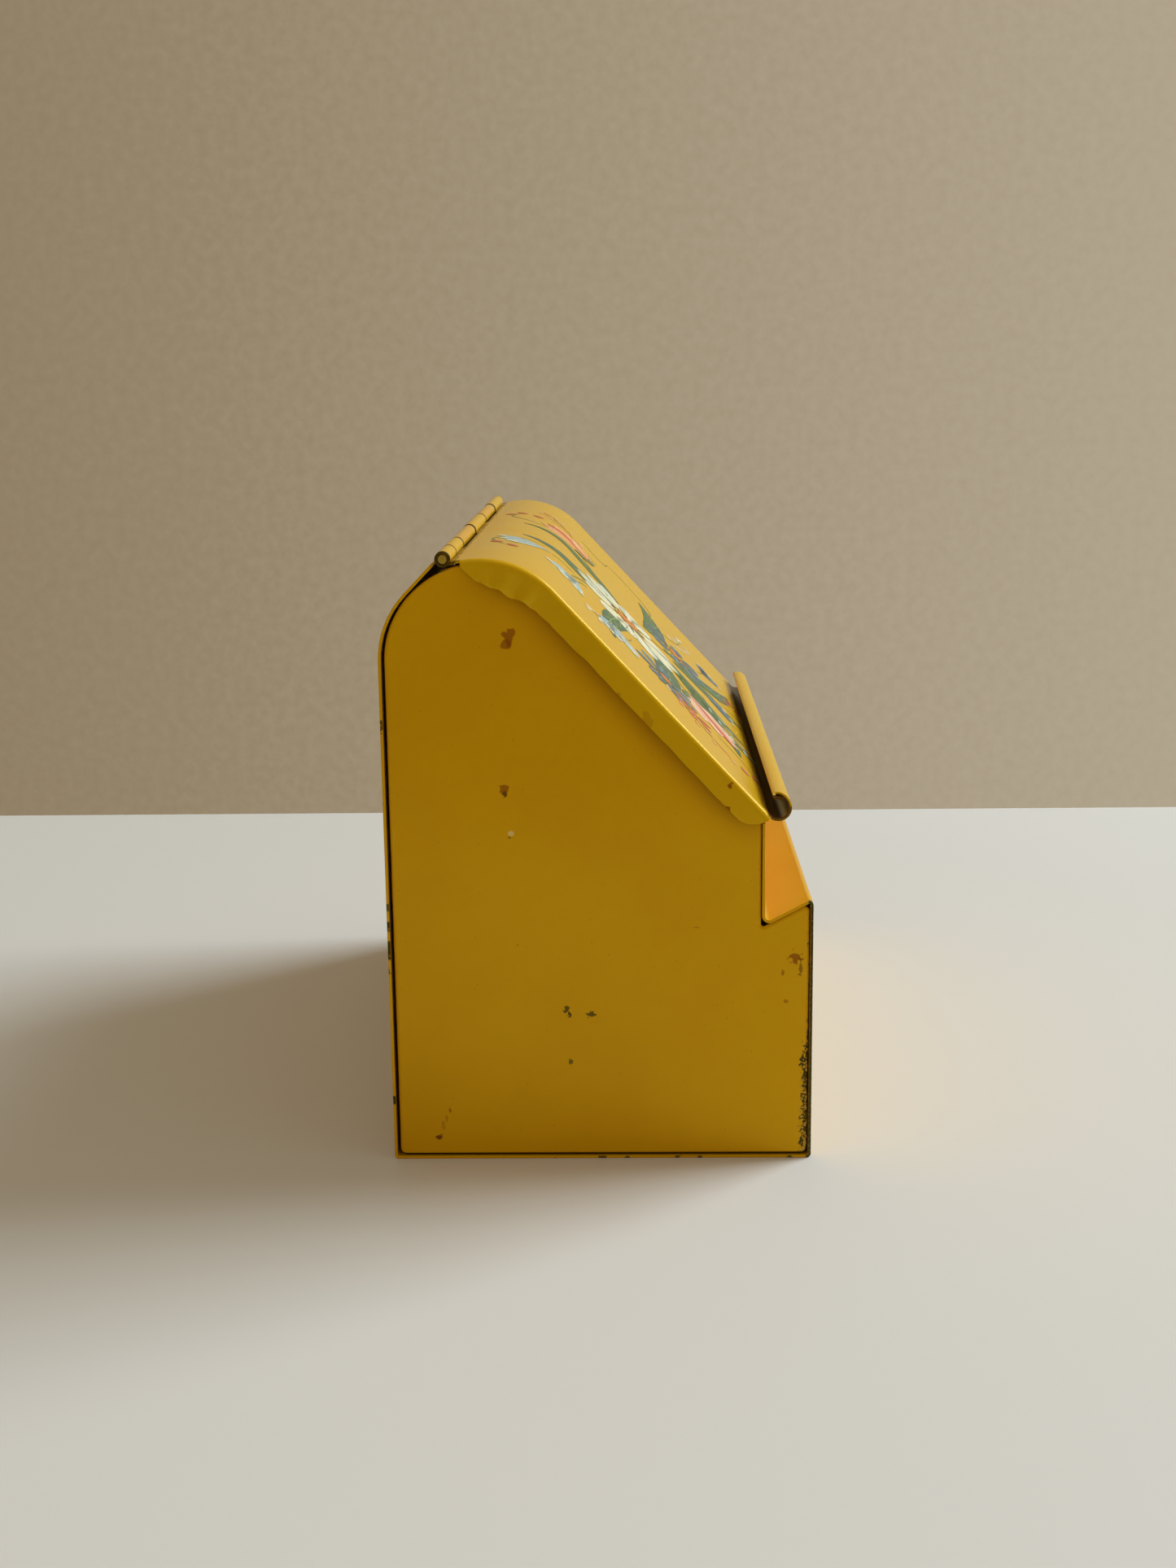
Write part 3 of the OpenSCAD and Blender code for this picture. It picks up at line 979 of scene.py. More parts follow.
@dataclass
class EndPan:
    """A pressed pan with a rounded edge and a flange, set in one end of the strip."""

    plan: Plan
    end: End
    inset: float = 0.2
    gap: float = 0.4
    flange: float = 4.0
    edge_radius: float = 0.8
    corner: float = 1.4
    ledge_bend: float = 1.0
    notch_bend: float = 0.3
    chipped: Point = (1.0, 17.0)
    chip_reach: float = 1.8
    seam_reach: float = 2.0
    seam_start: float = 0.46
    seam_soft: float = 0.24
    seam_wander: float = 0.3
    foot_fade: Point = (0.6, 0.45)
    rim_bottom: float = 56.0
    rim_spared: float = -0.85
    shadow_reach: float = 6.5
    shadow_rise: Point = (8.0, 18.0)
    shadow_front: Point = (24.0, 12.0)

    @property
    def side_name(self) -> str:
        """Name of the end."""
        return self.end.name.lower()

    def build(self, groups: Groups) -> Piece:
        """Draws the outline, presses the pan and dresses it."""
        plan = self.plan
        side = self.end.value
        face_x = side * (plan.width / 2 - self.inset)
        radius = plan.crown_radius - plan.sheet - self.gap
        back = plan.crown[0] + radius
        front = plan.sheet - plan.depth / 2
        riser = plan.riser_y + plan.half
        tilt = math.radians(plan.ledge_slope)
        ledge = plan.front_height - plan.half / math.cos(tilt)
        notch = ledge - plan.recess_depth * math.tan(tilt)
        start = (back, plan.crown[1])
        piece = start_vertex(f"{self.side_name}_pan", Vector((face_x, *start)) * MM)
        points = [
            (back, plan.sheet),
            (front, plan.sheet),
            (front, ledge),
            (riser, notch),
            (riser, plan.panel_z(radius, riser)),
            polar(plan.crown, radius, plan.slant_angle),
        ]
        radii = [self.corner, self.corner, self.ledge_bend, self.notch_bend, self.ledge_bend]
        Bench(start, 270).fold(points, radii).bend(radius, -plan.slant_angle, 60)
        bpy.ops.mesh.select_all(action="SELECT")
        bpy.ops.mesh.remove_doubles(threshold=0.01 * MM)
        bpy.ops.mesh.edge_face_add()
        self.press(piece, side, face_x)
        close_up(piece, Vector((face_x + side, 0, plan.front_height)))
        marks = self.left_marks() if self.end is End.LEFT else self.right_marks()
        finish = Enamel(f"{self.side_name}_pan_enamel", ior=BODY_IOR, marks=marks)
        coat(piece, finish.build(groups, self.wear), inner_enamel(groups))
        thicken(piece, plan.sheet, offset=-1)
        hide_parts(f"{self.side_name}_end_panel")
        dress(piece, "box")
        return piece

    def press(self, piece: Piece, side: int, face_x: float) -> None:
        """Folds the flange back from the face and rounds the edge between them."""
        bpy.ops.mesh.select_mode(type="EDGE")
        bpy.ops.mesh.extrude_edges_move(TRANSFORM_OT_translate={"value": (-side * self.flange * MM, 0, 0)})
        select_edges(piece, lambda co: abs(co.x - face_x) < 0.01)
        bpy.ops.mesh.bevel(offset=self.edge_radius * MM, segments=6, affect="EDGES")

    def right_marks(self) -> tuple[Mark, ...]:
        """Gives the few scuffs of the right end."""
        x = self.plan.width / 2 - self.inset
        return (
            Mark((x, -9.4, 68.0), (1, 0.5, 0.7), SMUDGE, 0.6, 0.7, 900),
            Mark((x, 21.3, 33.1), (1, 0.5, 0.7), BARE_AND_SEAM_SHADE, 0.7, 0.9, 1500),
            Mark((x, -24.0, 9.8), (1, 0.8, 0.4), SCAB, 0.8, 0.9, 1300),
            Mark((x, 3.0, 51.2), (1, 2.2, 0.2), SMUDGE, 0.3, 0.6, 1300),
            Mark((x, 10.6, 84.5), (1, 0.5, 0.4), PALE_CHIP, 0.6, 0.8, 1500),
        )

    def left_marks(self) -> tuple[Mark, ...]:
        """Gives the smudges and chips of the left end."""
        x = self.inset - self.plan.width / 2
        return (
            Mark((x, 14.2, 91.2), (1, 1.1, 1.4), SMUDGE, 0.75, 0.6, 600),
            Mark((x, 14.9, 89.9), (1, 0.9, 0.9), SMUDGE, 0.7, 0.5, 600),
            Mark((x, 15.9, 65.3), (1, 0.8, 1.0), SMUDGE, 0.75, 0.8, 700),
            Mark((x, 15.6, 64.6), (1, 0.35, 0.6), BARE_AND_SEAM_SHADE, 0.7, 0.6, 1200),
            Mark((x, 14.6, 57.9), (1, 0.45, 0.5), PALE_CHIP, 0.8, 0.6, 1500),
            Mark((x, 14.9, 57.2), (1, 0.3, 0.2), BARE_AND_SEAM_SHADE, 0.5, 0.5, 1500),
            Mark((x, 5.8, 27.0), (1, 0.45, 0.7), BARE_AND_SEAM_SHADE, 0.9, 1.0, 1700),
            Mark((x, 5.3, 26.1), (1, 0.5, 0.5), BARE_AND_SEAM_SHADE, 0.95, 0.9, 1700),
            Mark((x, 1.5, 26.1), (1, 0.75, 0.5), BARE_AND_SEAM_SHADE, 0.9, 1.0, 1700),
            Mark((x, 5.3, 17.6), (1, 0.35, 0.55), BARE_AND_SEAM_SHADE, 0.8, 0.9, 1700),
            Mark((x, 13.9, 38.5), (1, 0.4, 0.25), SMUDGE, 0.35, 0.7, 1300),
            Mark((x, 28.3, 4.0), (1, 0.6, 0.45), SCAB, 0.95, 0.9, 1500),
            Mark((x, 27.4, 5.9), (1, 0.3, 0.9), SMUDGE, 0.35, 0.8, 1100),
            Mark((x, 26.8, 7.3), (1, 0.25, 0.8), SMUDGE, 0.4, 0.8, 1300),
            Mark((x, 26.2, 8.9), (1, 0.25, 0.7), SCAB, 0.6, 0.7, 1500),
            Mark((x, -33.1, 35.9), (1, 1.1, 0.9), SMUDGE, 0.85, 1.0, 1300),
            Mark((x, -33.9, 34.2), (1, 0.35, 1.6), SCAB, 0.7, 0.8, 1300),
            Mark((x, -30.9, 33.2), (1, 0.25, 0.8), SMUDGE, 0.7, 0.7, 1500),
            Mark((x, -31.5, 28.2), (1, 0.4, 0.3), SMUDGE, 0.6, 0.7, 1500),
            Mark((x, -16.4, 41.4), (1, 0.9, 0.12), SMUDGE, 0.4, 0.7, 1500),
        )

    def wear(self, skin: Skin) -> None:
        """Lays on the painted shadow under the lid's skirt, the painted shade and dirt in the seam round
        the face and along its foot, and the chipping beside the front.
        """
        graph = skin.graph
        plan = self.plan
        x, y, z = skin.axes
        # Painted shadow of the lid's skirt on the pan: darkest just under the skirt, fading out lower down
        # and towards the back.
        skirt_shadow = skin.fade(self.lid_depth(skin), plan.skirt + self.shadow_reach, plan.skirt)
        over = skin.fade(z, *(plan.front_height + rise for rise in self.shadow_rise))
        skin.lay(UNDER_SKIRT_SHADOW, skirt_shadow, skirt_shadow, over, skin.fade(y, *self.shadow_front), strength=0.6, worn=0.0)
        front = graph.math("ADD", y, (plan.depth / 2 - plan.sheet) * MM)
        amount = graph.math("MULTIPLY", skin.between(z, *self.chipped, 9), 0.72)
        chips = skin.chips(front, self.chip_reach, amount, 1100.0)
        crackle = graph.math("ABSOLUTE", graph.swing(skin.broken(1500, 0.3, 0.7)))
        skin.lay(STEEL, chips, strength=0.3)
        skin.lay(BARE_AND_SEAM_SHADE, chips, graph.ramp(crackle, 0.34, 0.24))
        # Painted shade, with dirt, in the groove between the pan's rounded edge and the strip: darker the
        # deeper the place lies, and mostly left off where the lid covers the pan's upper edge.
        wander = graph.swing(graph.noise(skin.place, 260, 3.0))
        deep = skin.short_of(plan.width / 2 - self.inset, x)
        depth = graph.math("MULTIPLY_ADD", wander, self.seam_wander * MM, deep)
        seam = skin.between(depth, self.seam_start, self.seam_reach, self.seam_soft)
        hinge = plan.pin[0]
        under_lid = skin.all_of(
            skin.fade(y, hinge + 0.5, hinge - 0.5), skin.fade(z, self.rim_bottom, self.rim_bottom + 2)
        )
        kept = graph.math("MULTIPLY_ADD", under_lid, self.rim_spared, 1.0)
        skin.lay(BARE_AND_SEAM_SHADE, seam, kept, worn=0.0)
        # Painted shade, with dirt, along the pan's foot where it meets the strip's bottom.
        foot = skin.fade(z, *(plan.sheet + rise for rise in self.foot_fade))
        skin.lay(BARE_AND_SEAM_SHADE, foot, worn=0.0)

    def lid_depth(self, skin: Skin) -> Socket:
        """Gives how far below the top of the lid's sheet a place lies, in metres."""
        graph = skin.graph
        plan = self.plan
        arm = graph.vector("SUBTRACT", skin.flat, Vector((0, *plan.crown)) * MM).outputs[0]
        down = graph.vector("DOT_PRODUCT", arm, plan.slant_down).outputs["Value"]
        on_slant = graph.math("GREATER_THAN", down, 0.0)
        slant = graph.vector("DOT_PRODUCT", arm, plan.slant_out).outputs["Value"]
        crown = graph.vector("LENGTH", arm).outputs["Value"]
        return graph.math("SUBTRACT", plan.crown_radius * MM, graph.number(on_slant, crown, slant))


# ---------------------------------------------------------------- lid


@dataclass
class Lid:
    """The pressed lid: slanted panel, crown and skirts, curled card lip and hinge tabs."""

    plan: Plan
    edge_bend: float = 1.0
    skirt_rows: int = 6
    nose_steps: int = 12
    slant_steps: int = 46
    crown_steps: int = 46
    lip_inset: float = 2.0
    lip_corner: float = 3.5
    hem: float = 0.3
    hem_turn: float = 45.0
    heel_offset: Point = (-5.9, 22.7)
    heel_radius: float = 11.3
    heel_end: float = -77.0
    split_x: float = -56.3
    split_half: float = 0.6
    ring_half: float = 0.7
    hollow_fade: Point = (0.2, 0.45)
    rust_fade: Point = (5.0, 0.5)
    curl_fade: Point = (1.6, 1.1)
    name: str = "lid_sheet"

    @property
    def middle(self) -> float:
        """Distance of the middle of the sheet from the crown's centre."""
        return self.plan.crown_radius - self.plan.half

    @property
    def lip_centre(self) -> Point:
        """Centre of the curled lip."""
        root = self.plan.down_slant(self.middle, self.plan.lip_s)
        return polar(root, self.plan.lip_radius - self.plan.half, self.plan.slant_angle)

    @property
    def lip_edge(self) -> float:
        """X of the card lip's end."""
        return self.plan.lid_width / 2 - self.lip_inset

    def crosswise(self) -> list[float]:
        """Gives the X of the lines down the flat of the lid, between its two bends."""
        reach = self.plan.lid_width / 2 - self.edge_bend
        stops = {x for span in self.plan.knuckle_spans(0) for x in span}
        stops |= {-reach, reach, -self.lip_edge, self.lip_edge}
        return sorted(stops)

    def build(self, groups: Groups) -> Piece:
        """Presses the lid, curls its lip and tabs, and dresses it."""
        plan = self.plan
        piece = self.draw_section()
        nose = plan.skirt
        slant = Bench(plan.down_slant(self.middle, plan.lip_s), plan.slope)
        for step in range(self.nose_steps):
            before, after = (math.sin(math.pi / 2 * (1 - t / self.nose_steps)) for t in (step, step + 1))
            slant.run(nose * (before - after))
        slant.run(plan.lip_s - nose, self.slant_steps)
        slant.bend(self.middle, plan.skirt_angle - plan.slant_angle, self.crown_steps)
        self.curl_tabs(piece)
        self.curl_lip(piece)
        close_up(piece, Vector((0, *plan.down_slant(plan.crown_radius + 1, plan.lip_s / 2))))
        self.shape_skirts(piece)
        self.round_lip(piece)
        finish = Enamel("lid_enamel", LID_YELLOW_AS_LIT, 0.24, calm=plan.pin, marks=self.marks())
        coat(piece, finish.build(groups, self.wear), inner_enamel(groups))
        thicken(piece, plan.sheet)
        coat_round(piece, self.lip_centre, plan.lip_radius + 0.1)
        coat_round(piece, plan.pin, plan.knuckle_radius + 0.1)
        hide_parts("lid")
        dress(piece, "lid")
        return piece

    def draw_section(self) -> Piece:
        """Draws the section across the lid at its lip: skirt, bend, flat, bend, skirt."""
        plan = self.plan
        foot = Vector((0, *plan.down_slant(0, plan.lip_s)))
        side = plan.lid_width / 2 - plan.half
        bend = self.edge_bend - plan.half
        low = (-side, plan.crown_radius - plan.skirt)
        pen = Bench(low, 90, Vector((1, 0, 0)), plan.slant_out, foot)
        piece = start_vertex(self.name, pen.place(low))
        rise = plan.skirt - self.edge_bend
        pen.run(rise, self.skirt_rows).bend(bend, -90, 6)
        for start, end in pairwise(self.crosswise()):
            pen.run(end - start)
        pen.bend(bend, -90, 6).run(rise, self.skirt_rows)
        bpy.ops.mesh.select_all(action="SELECT")
        return piece

    def curl_tabs(self, piece: Piece) -> None:
        """Carries the sheet on to its rear edge, and curls the hinge tabs round the pin."""
        plan = self.plan
        outer = plan.knuckle_spans(0)[-1][1]
        end = polar(plan.crown, self.middle, plan.skirt_angle)
        select_ring(piece, end, -outer, outer)
        Bench(end, plan.skirt_angle - 90).bend(self.middle, plan.rear_angle - plan.skirt_angle, 3)
        rear = polar(plan.crown, self.middle, plan.rear_angle)
        curl = plan.pin_radius + plan.pin_clearance + plan.half
        for low, high in plan.knuckle_spans(0):
            select_ring(piece, rear, low, high)
            bench = Bench(rear, plan.rear_angle - 90)
            bench.bend(self.middle, plan.hinge_angle - plan.rear_angle, 4)
            bench.bend(curl, plan.curl_sweep, plan.curl_steps)

    def curl_lip(self, piece: Piece) -> None:
        """Curls the lip forward and up, and hems its free edge to the inside."""
        plan = self.plan
        root = plan.down_slant(self.middle, plan.lip_s)
        curl = plan.lip_radius - plan.half
        select_ring(piece, root, -self.lip_edge, self.lip_edge)
        bench = Bench(root, 180 + plan.slope)
        bench.bend(curl, -(plan.slant_angle + plan.lip_turn), 36)
        bench.bend(self.hem, -180, 10).bend(curl - 2 * self.hem, self.hem_turn, 6)

    def skirt_depth(self, s: float, angle: float) -> float:
        """Gives the depth of the skirt's lower edge.

        Args:
            s: Distance down the slope, negative on the crown.
            angle: Direction from the crown's centre, on the crown.

        Returns:
            The depth below the top of the sheet, in millimetres.
        """
        plan = self.plan
        least = self.edge_bend + 0.05
        if s >= 0:
            past = max(0.0, s - (plan.lip_s - plan.skirt))
            return max(least, math.sqrt(max(0.0, plan.skirt**2 - past**2)))
        heel = Vector(self.heel_offset)
        end = heel + Vector(polar((0, 0), self.heel_radius, self.heel_end))
        start = Vector(polar((0, 0), plan.crown_radius - plan.skirt, plan.slant_angle))
        ray = Vector(polar((0, 0), 1, angle))
        if angle > math.degrees(math.atan2(end.y, end.x)):
            chord = (end - start).normalized()
            square = Vector((-chord.y, chord.x))
            low = start.dot(square) / ray.dot(square)
        else:
            along = ray.dot(heel)
            low = along - math.sqrt(max(0.0, self.heel_radius**2 - heel.length_squared + along**2))
        return max(least, plan.crown_radius - low)

    def dent(self, along: float, side: float) -> tuple[float, float]:
        """Gives how far hammering pushed the skirt in, and its edge up or down, at a place."""
        ease = math.exp(-(((along + 8) / 15) ** 2))
        slow = noise.noise(Vector((along * 0.2, side * 7.3, 0.4)))
        quick = noise.noise(Vector((along * 0.45, side * 5.1, 3.7)))
        push = min(1.0, max(0.0, 1.2 * slow + 1.5 * quick + 0.3))
        return 0.6 * push * ease, (0.35 * quick + 0.7 * slow) * (0.2 + ease)

    def shape_skirts(self, piece: Piece) -> None:
        """Trims the skirts to their outline and works in the dents along the crown."""
        plan = self.plan
        square, down = plan.slant_out, plan.slant_down
        centre = Vector((0, *plan.crown))
        side_x = plan.lid_width / 2 - plan.half - 0.01
        for vertex in piece.data.vertices:
            place = vertex.co / MM
            if abs(place.x) < side_x:
                continue
            arm = Vector((0, place.y, place.z)) - centre
            s = arm.dot(down)
            out = square if s >= 0 else arm.normalized()
            angle = math.degrees(math.atan2(out.z, out.y))
            depth = plan.crown_radius - arm.dot(out)
            share = (depth - self.edge_bend) / (plan.skirt - self.edge_bend)
            if share < 0:
                continue
            side = math.copysign(1, place.x)
            along = s if s >= 0 else (angle - plan.slant_angle) * math.radians(plan.crown_radius)
            push, lift = self.dent(along, side)
            full = self.skirt_depth(s, angle) - self.edge_bend
            wanted = self.edge_bend + share * max(0.05, full + min(lift, 0.3) * min(1, full / 2))
            vertex.co += out * (depth - wanted) * MM
            vertex.co.x -= side * push * share * MM

    def round_lip(self, piece: Piece) -> None:
        """Rounds the upper corners of the card lip, as seen from the front."""
        plan = self.plan
        lip = self.lip_centre
        spring = lip[1] + plan.lip_radius - self.lip_corner
        inner = self.lip_edge - self.lip_corner
        for vertex in piece.data.vertices:
            place = vertex.co / MM
            reach = math.dist((place.y, place.z), lip)
            if reach > plan.lip_radius or abs(place.x) <= self.lip_edge - 0.01 or place.z <= spring:
                continue
            rise = min(self.lip_corner, place.z - spring)
            edge = inner + math.sqrt(self.lip_corner**2 - rise**2)
            vertex.co.x = math.copysign(min(abs(place.x), edge), place.x) * MM

    def marks(self) -> tuple[Mark, ...]:
        """Gives the chips of the left skirt and the scratches above the lip."""
        x = -self.plan.lid_width / 2
        scratch = (0.9, 0.35, 0.35)
        return (
            Mark((x, -21.9, 66.2), (1, 0.45, 0.5), SMUDGE, 0.9, 0.6, 1500),
            Mark((x, -21.3, 62.0), (1, 0.5, 0.6), SMUDGE, 0.9, 0.7, 1500),
            Mark((x, -7.9, 77.2), (1, 1.3, 1.6), SMUDGE, 0.25, 0.8, 600),
            Mark((x, -3.2, 81.5), (1, 0.6, 0.5), SMUDGE, 0.3, 0.8, 900),
            Mark((-7.2, *self.plan.down_slant(self.plan.crown_radius, 48.1)), scratch, PALE_CHIP, 0.8),
            Mark((-24.9, *self.plan.down_slant(self.plan.crown_radius, 46.8)), scratch, PALE_CHIP, 0.7),
            Mark((-20.0, *self.plan.down_slant(self.plan.crown_radius, 50.0)), scratch, SMUDGE, 0.5),
        )

    def wear(self, skin: Skin) -> None:
        """Lays on the painted shade and grime in the hollow inside the lip, its worn end, and the painted
        shade and grime at the hinge.
        """
        plan = self.plan
        lip = self.lip_centre
        x, y, _ = skin.axes
        end = skin.short_of(self.lip_edge, x)
        # Painted shade, with grime, in the hollow inside the curled lip.
        inside = skin.fade(skin.from_axis(lip), *(plan.lip_radius - fade for fade in self.hollow_fade))
        skin.lay(GRIME_AND_SHADE, inside, strength=0.97, worn=LIGHT_WEAR)
        skin.lay(RUST, inside, skin.fade(end, *self.rust_fade), strength=0.8, worn=LIGHT_WEAR)
        curl = skin.fade(y, *(lip[0] + fade for fade in self.curl_fade))
        skin.lay(RUST, skin.chips(end, 0.5, 0.62), curl, strength=0.85)
        paint_hinge_shade(skin, plan, 0.85)
        # Painted shade of the gaps at each knuckle's ends, broken with grime, and a painted dark line
        # across the first knuckle for the shade of a split there.
        outer = plan.knuckle_radius
        near = skin.fade(skin.from_axis(plan.pin), outer + 0.3, outer + 0.12)
        grains = skin.broken(1300, 0.25, 0.5)
        for at in (x for span in plan.knuckle_spans(0) for x in span):
            ring = skin.between(x, at - self.ring_half, at + self.ring_half, 0.2)
            skin.lay(GRIME_AND_SHADE, ring, near, grains, strength=0.9)
        split = skin.between(x, self.split_x - self.split_half, self.split_x + self.split_half, 0.15)
        skin.lay(GRIME_AND_SHADE, split, near, strength=0.9)


# ---------------------------------------------------------------- hinge pin


@dataclass
class HingePin:
    """The wire that the hinge tabs curl round."""

    plan: Plan
    short: float = 0.3
    end_round: float = 0.2
    name: str = "hinge_wire"

    def build(self, groups: Groups) -> Piece:
        """Turns the wire with rounded ends and dresses it."""
        plan = self.plan
        deselect_objects()
        bpy.ops.mesh.primitive_cylinder_add(
            vertices=48,
            radius=plan.pin_radius * MM,
            depth=(plan.width - 2 * self.short) * MM,
            location=Vector((0, *plan.pin)) * MM,
            rotation=(0, math.pi / 2, 0),
        )
        piece = added(self.name)
        bpy.ops.object.transform_apply(location=True, rotation=True, scale=True)
        apply_modifier(piece, "BEVEL", width=self.end_round * MM, segments=4, limit_method="ANGLE")
        smooth(piece)
        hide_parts("hinge_pin")
        finish = Enamel("hinge_wire_enamel", WIRE, 0.4, uneven=0.0)
        coat(piece, finish.build(groups, self.wear))
        dress(piece, "box")
        return piece

    def wear(self, skin: Skin) -> None:
        """Darkens the wire along its length, and leaves its ends as they are."""
        out = skin.short_of(self.plan.width / 2 - self.short - 0.25, skin.axes[0])
        skin.lay(GRIME_AND_SHADE, skin.fade(out, -0.1, 0.1), strength=0.85)


# ---------------------------------------------------------------- flower print

LEAF = (0.045, 0.125, 0.045)
LEAF_LIGHT = (0.20, 0.30, 0.12)
SLATE = (0.035, 0.085, 0.15)
SKY = (0.25, 0.40, 0.45)
CREAM = (0.86, 0.78, 0.52)
RED = (0.50, 0.030, 0.025)
ROSE = (0.80, 0.36, 0.25)
CORAL = (0.75, 0.22, 0.03)
OLIVE = (0.22, 0.19, 0.02)


@dataclass(frozen=True)
class Stroke:
    """A brush stroke on the lid laid flat: X across it, and S down the slope from the crown.

    Attributes:
        start: Where it starts, in millimetres.
        end: Where it ends.
        width: Its greatest width.
        tone: Its colour.
        streak: Colour of the streaks along it.
        bow: How far its middle bows out, as a share of its length.
        fullest: Where it is widest, from 0 at its start to 1 at its end.
        line: Whether it keeps its width all along.
        layer: How many strokes lie beneath it.
    """

    start: Point
    end: Point
    width: float
    tone: Colour
    streak: Colour
    bow: float = 0.0
    fullest: float = 0.62
    line: bool = False
    layer: int = 0

    def at(self, along: float, across: float) -> Point:
        """Gives the place at a share of its length and a share of its half width."""
        run = Vector(self.end) - Vector(self.start)
        left = Vector((-run.y, run.x))
        middle = Vector(self.start) + run * along + left * self.bow * 4 * along * (1 - along)
        ahead = run + left * self.bow * 4 * (1 - 2 * along)
        side = Vector((-ahead.y, ahead.x)).normalized()
        if self.line:
            share = 1 - abs(2 * along - 1) ** 6
        else:
            share = math.sin(math.pi * along ** (math.log(0.5) / math.log(self.fullest))) ** 0.8
        return tuple(middle + side * across * share * self.width / 2)


@dataclass
class LidPrint:
    """A spray of garden flowers in brush strokes, laid as a thin film on the lid.

    Attributes:
        plan: Sizes of the box.
        seed: Start of the small irregularities.
        lift: Height of the film over the enamel in millimetres.
        layer_lift: What each layer adds to it.
        film: Thickness of the film.
        cell: Length of a stroke's cells.
        name: Name of the piece.
    """

    plan: Plan
    seed: int = 11
    lift: float = 0.03
    layer_lift: float = 0.012
    film: float = 0.02
    cell: float = 1.3
    name: str = "lid_flower_print"

    def __post_init__(self) -> None:
        """Starts the spray with nothing painted."""
        self.dice = random.Random(self.seed)
        self.strokes: list[Stroke] = []
        self.tints: list[float] = []

    def jitter(self, value: float, share: float = 0.1) -> float:
        """Gives a value made a little more or less."""
        return value * (1 + self.dice.uniform(-share, share))

    def fan(
        self,
        centre: Point,
        angles: Sequence[float],
        inner: float,
        outer: float,
        width: float,
        tones: Sequence[Colour],
        layer: int = 2,
    ) -> None:
        """Paints petals round a centre.

        Args:
            centre: The centre, as X and S.
            angles: Direction of each petal in degrees, from X towards S.
            inner: How far from the centre they start.
            outer: How far from it they end.
            width: Their width.
            tones: Their colour, and that of their streaks.
            layer: How many strokes lie beneath them.
        """
        for angle in angles:
            turned = angle + self.dice.uniform(-4, 4)
            start, end = polar(centre, inner, turned), polar(centre, self.jitter(outer), turned)
            bow = self.dice.uniform(-0.08, 0.08)
            self.strokes.append(Stroke(start, end, self.jitter(width), *tones, bow, 0.66, layer=layer))

    def leaf(self, base: Point, tip: Point, width: float, bow: float) -> None:
        """Paints a lance-shaped leaf with its veins."""
        body = Stroke(base, tip, width, LEAF, SLATE, bow, 0.45, layer=1)
        rib = Stroke(base, body.at(0.9, 0), 0.3, LEAF_LIGHT, LEAF_LIGHT, bow, line=True, layer=2)
        self.strokes += [body, rib]
        for along in (0.3, 0.45, 0.6, 0.75):
            for side in (-0.75, 0.75):
                ends = body.at(along - 0.12, 0), body.at(along + 0.08, side)
                self.strokes.append(Stroke(*ends, 0.22, LEAF_LIGHT, LEAF_LIGHT, line=True, layer=2))

    def stem(self, base: Point, tip: Point, bow: float, width: float = 0.45) -> Stroke:
        """Paints a thin stem or tendril and returns it."""
        made = Stroke(base, tip, width, OLIVE, LEAF, bow, line=True)
        self.strokes.append(made)
        return made

    def dots(self, places: Sequence[Point], size: float, tones: Sequence[Colour], layer: int = 3) -> None:
        """Paints round dots."""
        for x, s in places:
            reach = self.jitter(size) / 2
            self.strokes.append(Stroke((x, s - reach), (x, s + reach), size, *tones, 0, 0.5, layer=layer))

    def daisy(self, centre: Point, petals: int, radius: float, tones: Sequence[Colour]) -> None:
        """Paints an open flower with a dotted eye."""
        angles = [360 * i / petals for i in range(petals)]
        self.fan(centre, angles, radius * 0.2, radius, radius * 0.42, tones)
        self.dots([centre], radius * 0.42, (CORAL, RED), 4)
        ring = [polar(centre, radius * 0.3, angle + 20) for angle in angles]
        self.dots(ring, radius * 0.09, (OLIVE, RED), 5)

    def tulip(self, base: Point, angle: float, size: float, tones: Sequence[Colour], heart: Colour) -> None:
        """Paints a cup of petals that opens one way."""
        self.fan(base, [angle - 34, angle + 34], 0, size * 0.9, size * 0.34, tones)
        self.fan(base, [angle - 15, angle + 15], 0, size, size * 0.34, tones, 3)
        self.fan(base, [angle], size * 0.1, size * 0.95, size * 0.22, (heart, tones[0]), 4)
        self.fan(base, [angle - 60, angle + 60], 0, size * 0.4, size * 0.16, (LEAF, LEAF_LIGHT), 5)

    def bell(self, top: Point, angle: float, size: float, tones: Sequence[Colour]) -> None:
        """Paints a hanging bell flower on a short stalk."""
        self.stem(polar(top, size * 0.6, angle + 180), top, 0.1, 0.4)
        self.fan(top, [angle - 20, angle, angle + 20], 0, size, size * 0.4, tones)
        mouth = [polar(top, size * 0.95, angle + turn) for turn in (-26, 0, 26)]
        self.dots(mouth, size * 0.17, (CREAM, SKY), 4)

    def sprig(self, base: Point, tip: Point, bow: float, tones: Sequence[Colour]) -> None:
        """Paints a stem with small buds on both sides."""
        stem = self.stem(base, tip, bow, 0.35)
        lean = heading(base, tip)
        for along in (0.3, 0.5, 0.7, 0.88):
            for side in (-38, 38):
                bud = stem.at(along, 0)
                end = polar(bud, self.jitter(4.2), lean + side)
                self.strokes.append(Stroke(bud, end, 1.2, *tones, 0.1, 0.75, layer=2))
        self.fan(tip, [lean], 0, 3.4, 1.3, tones)

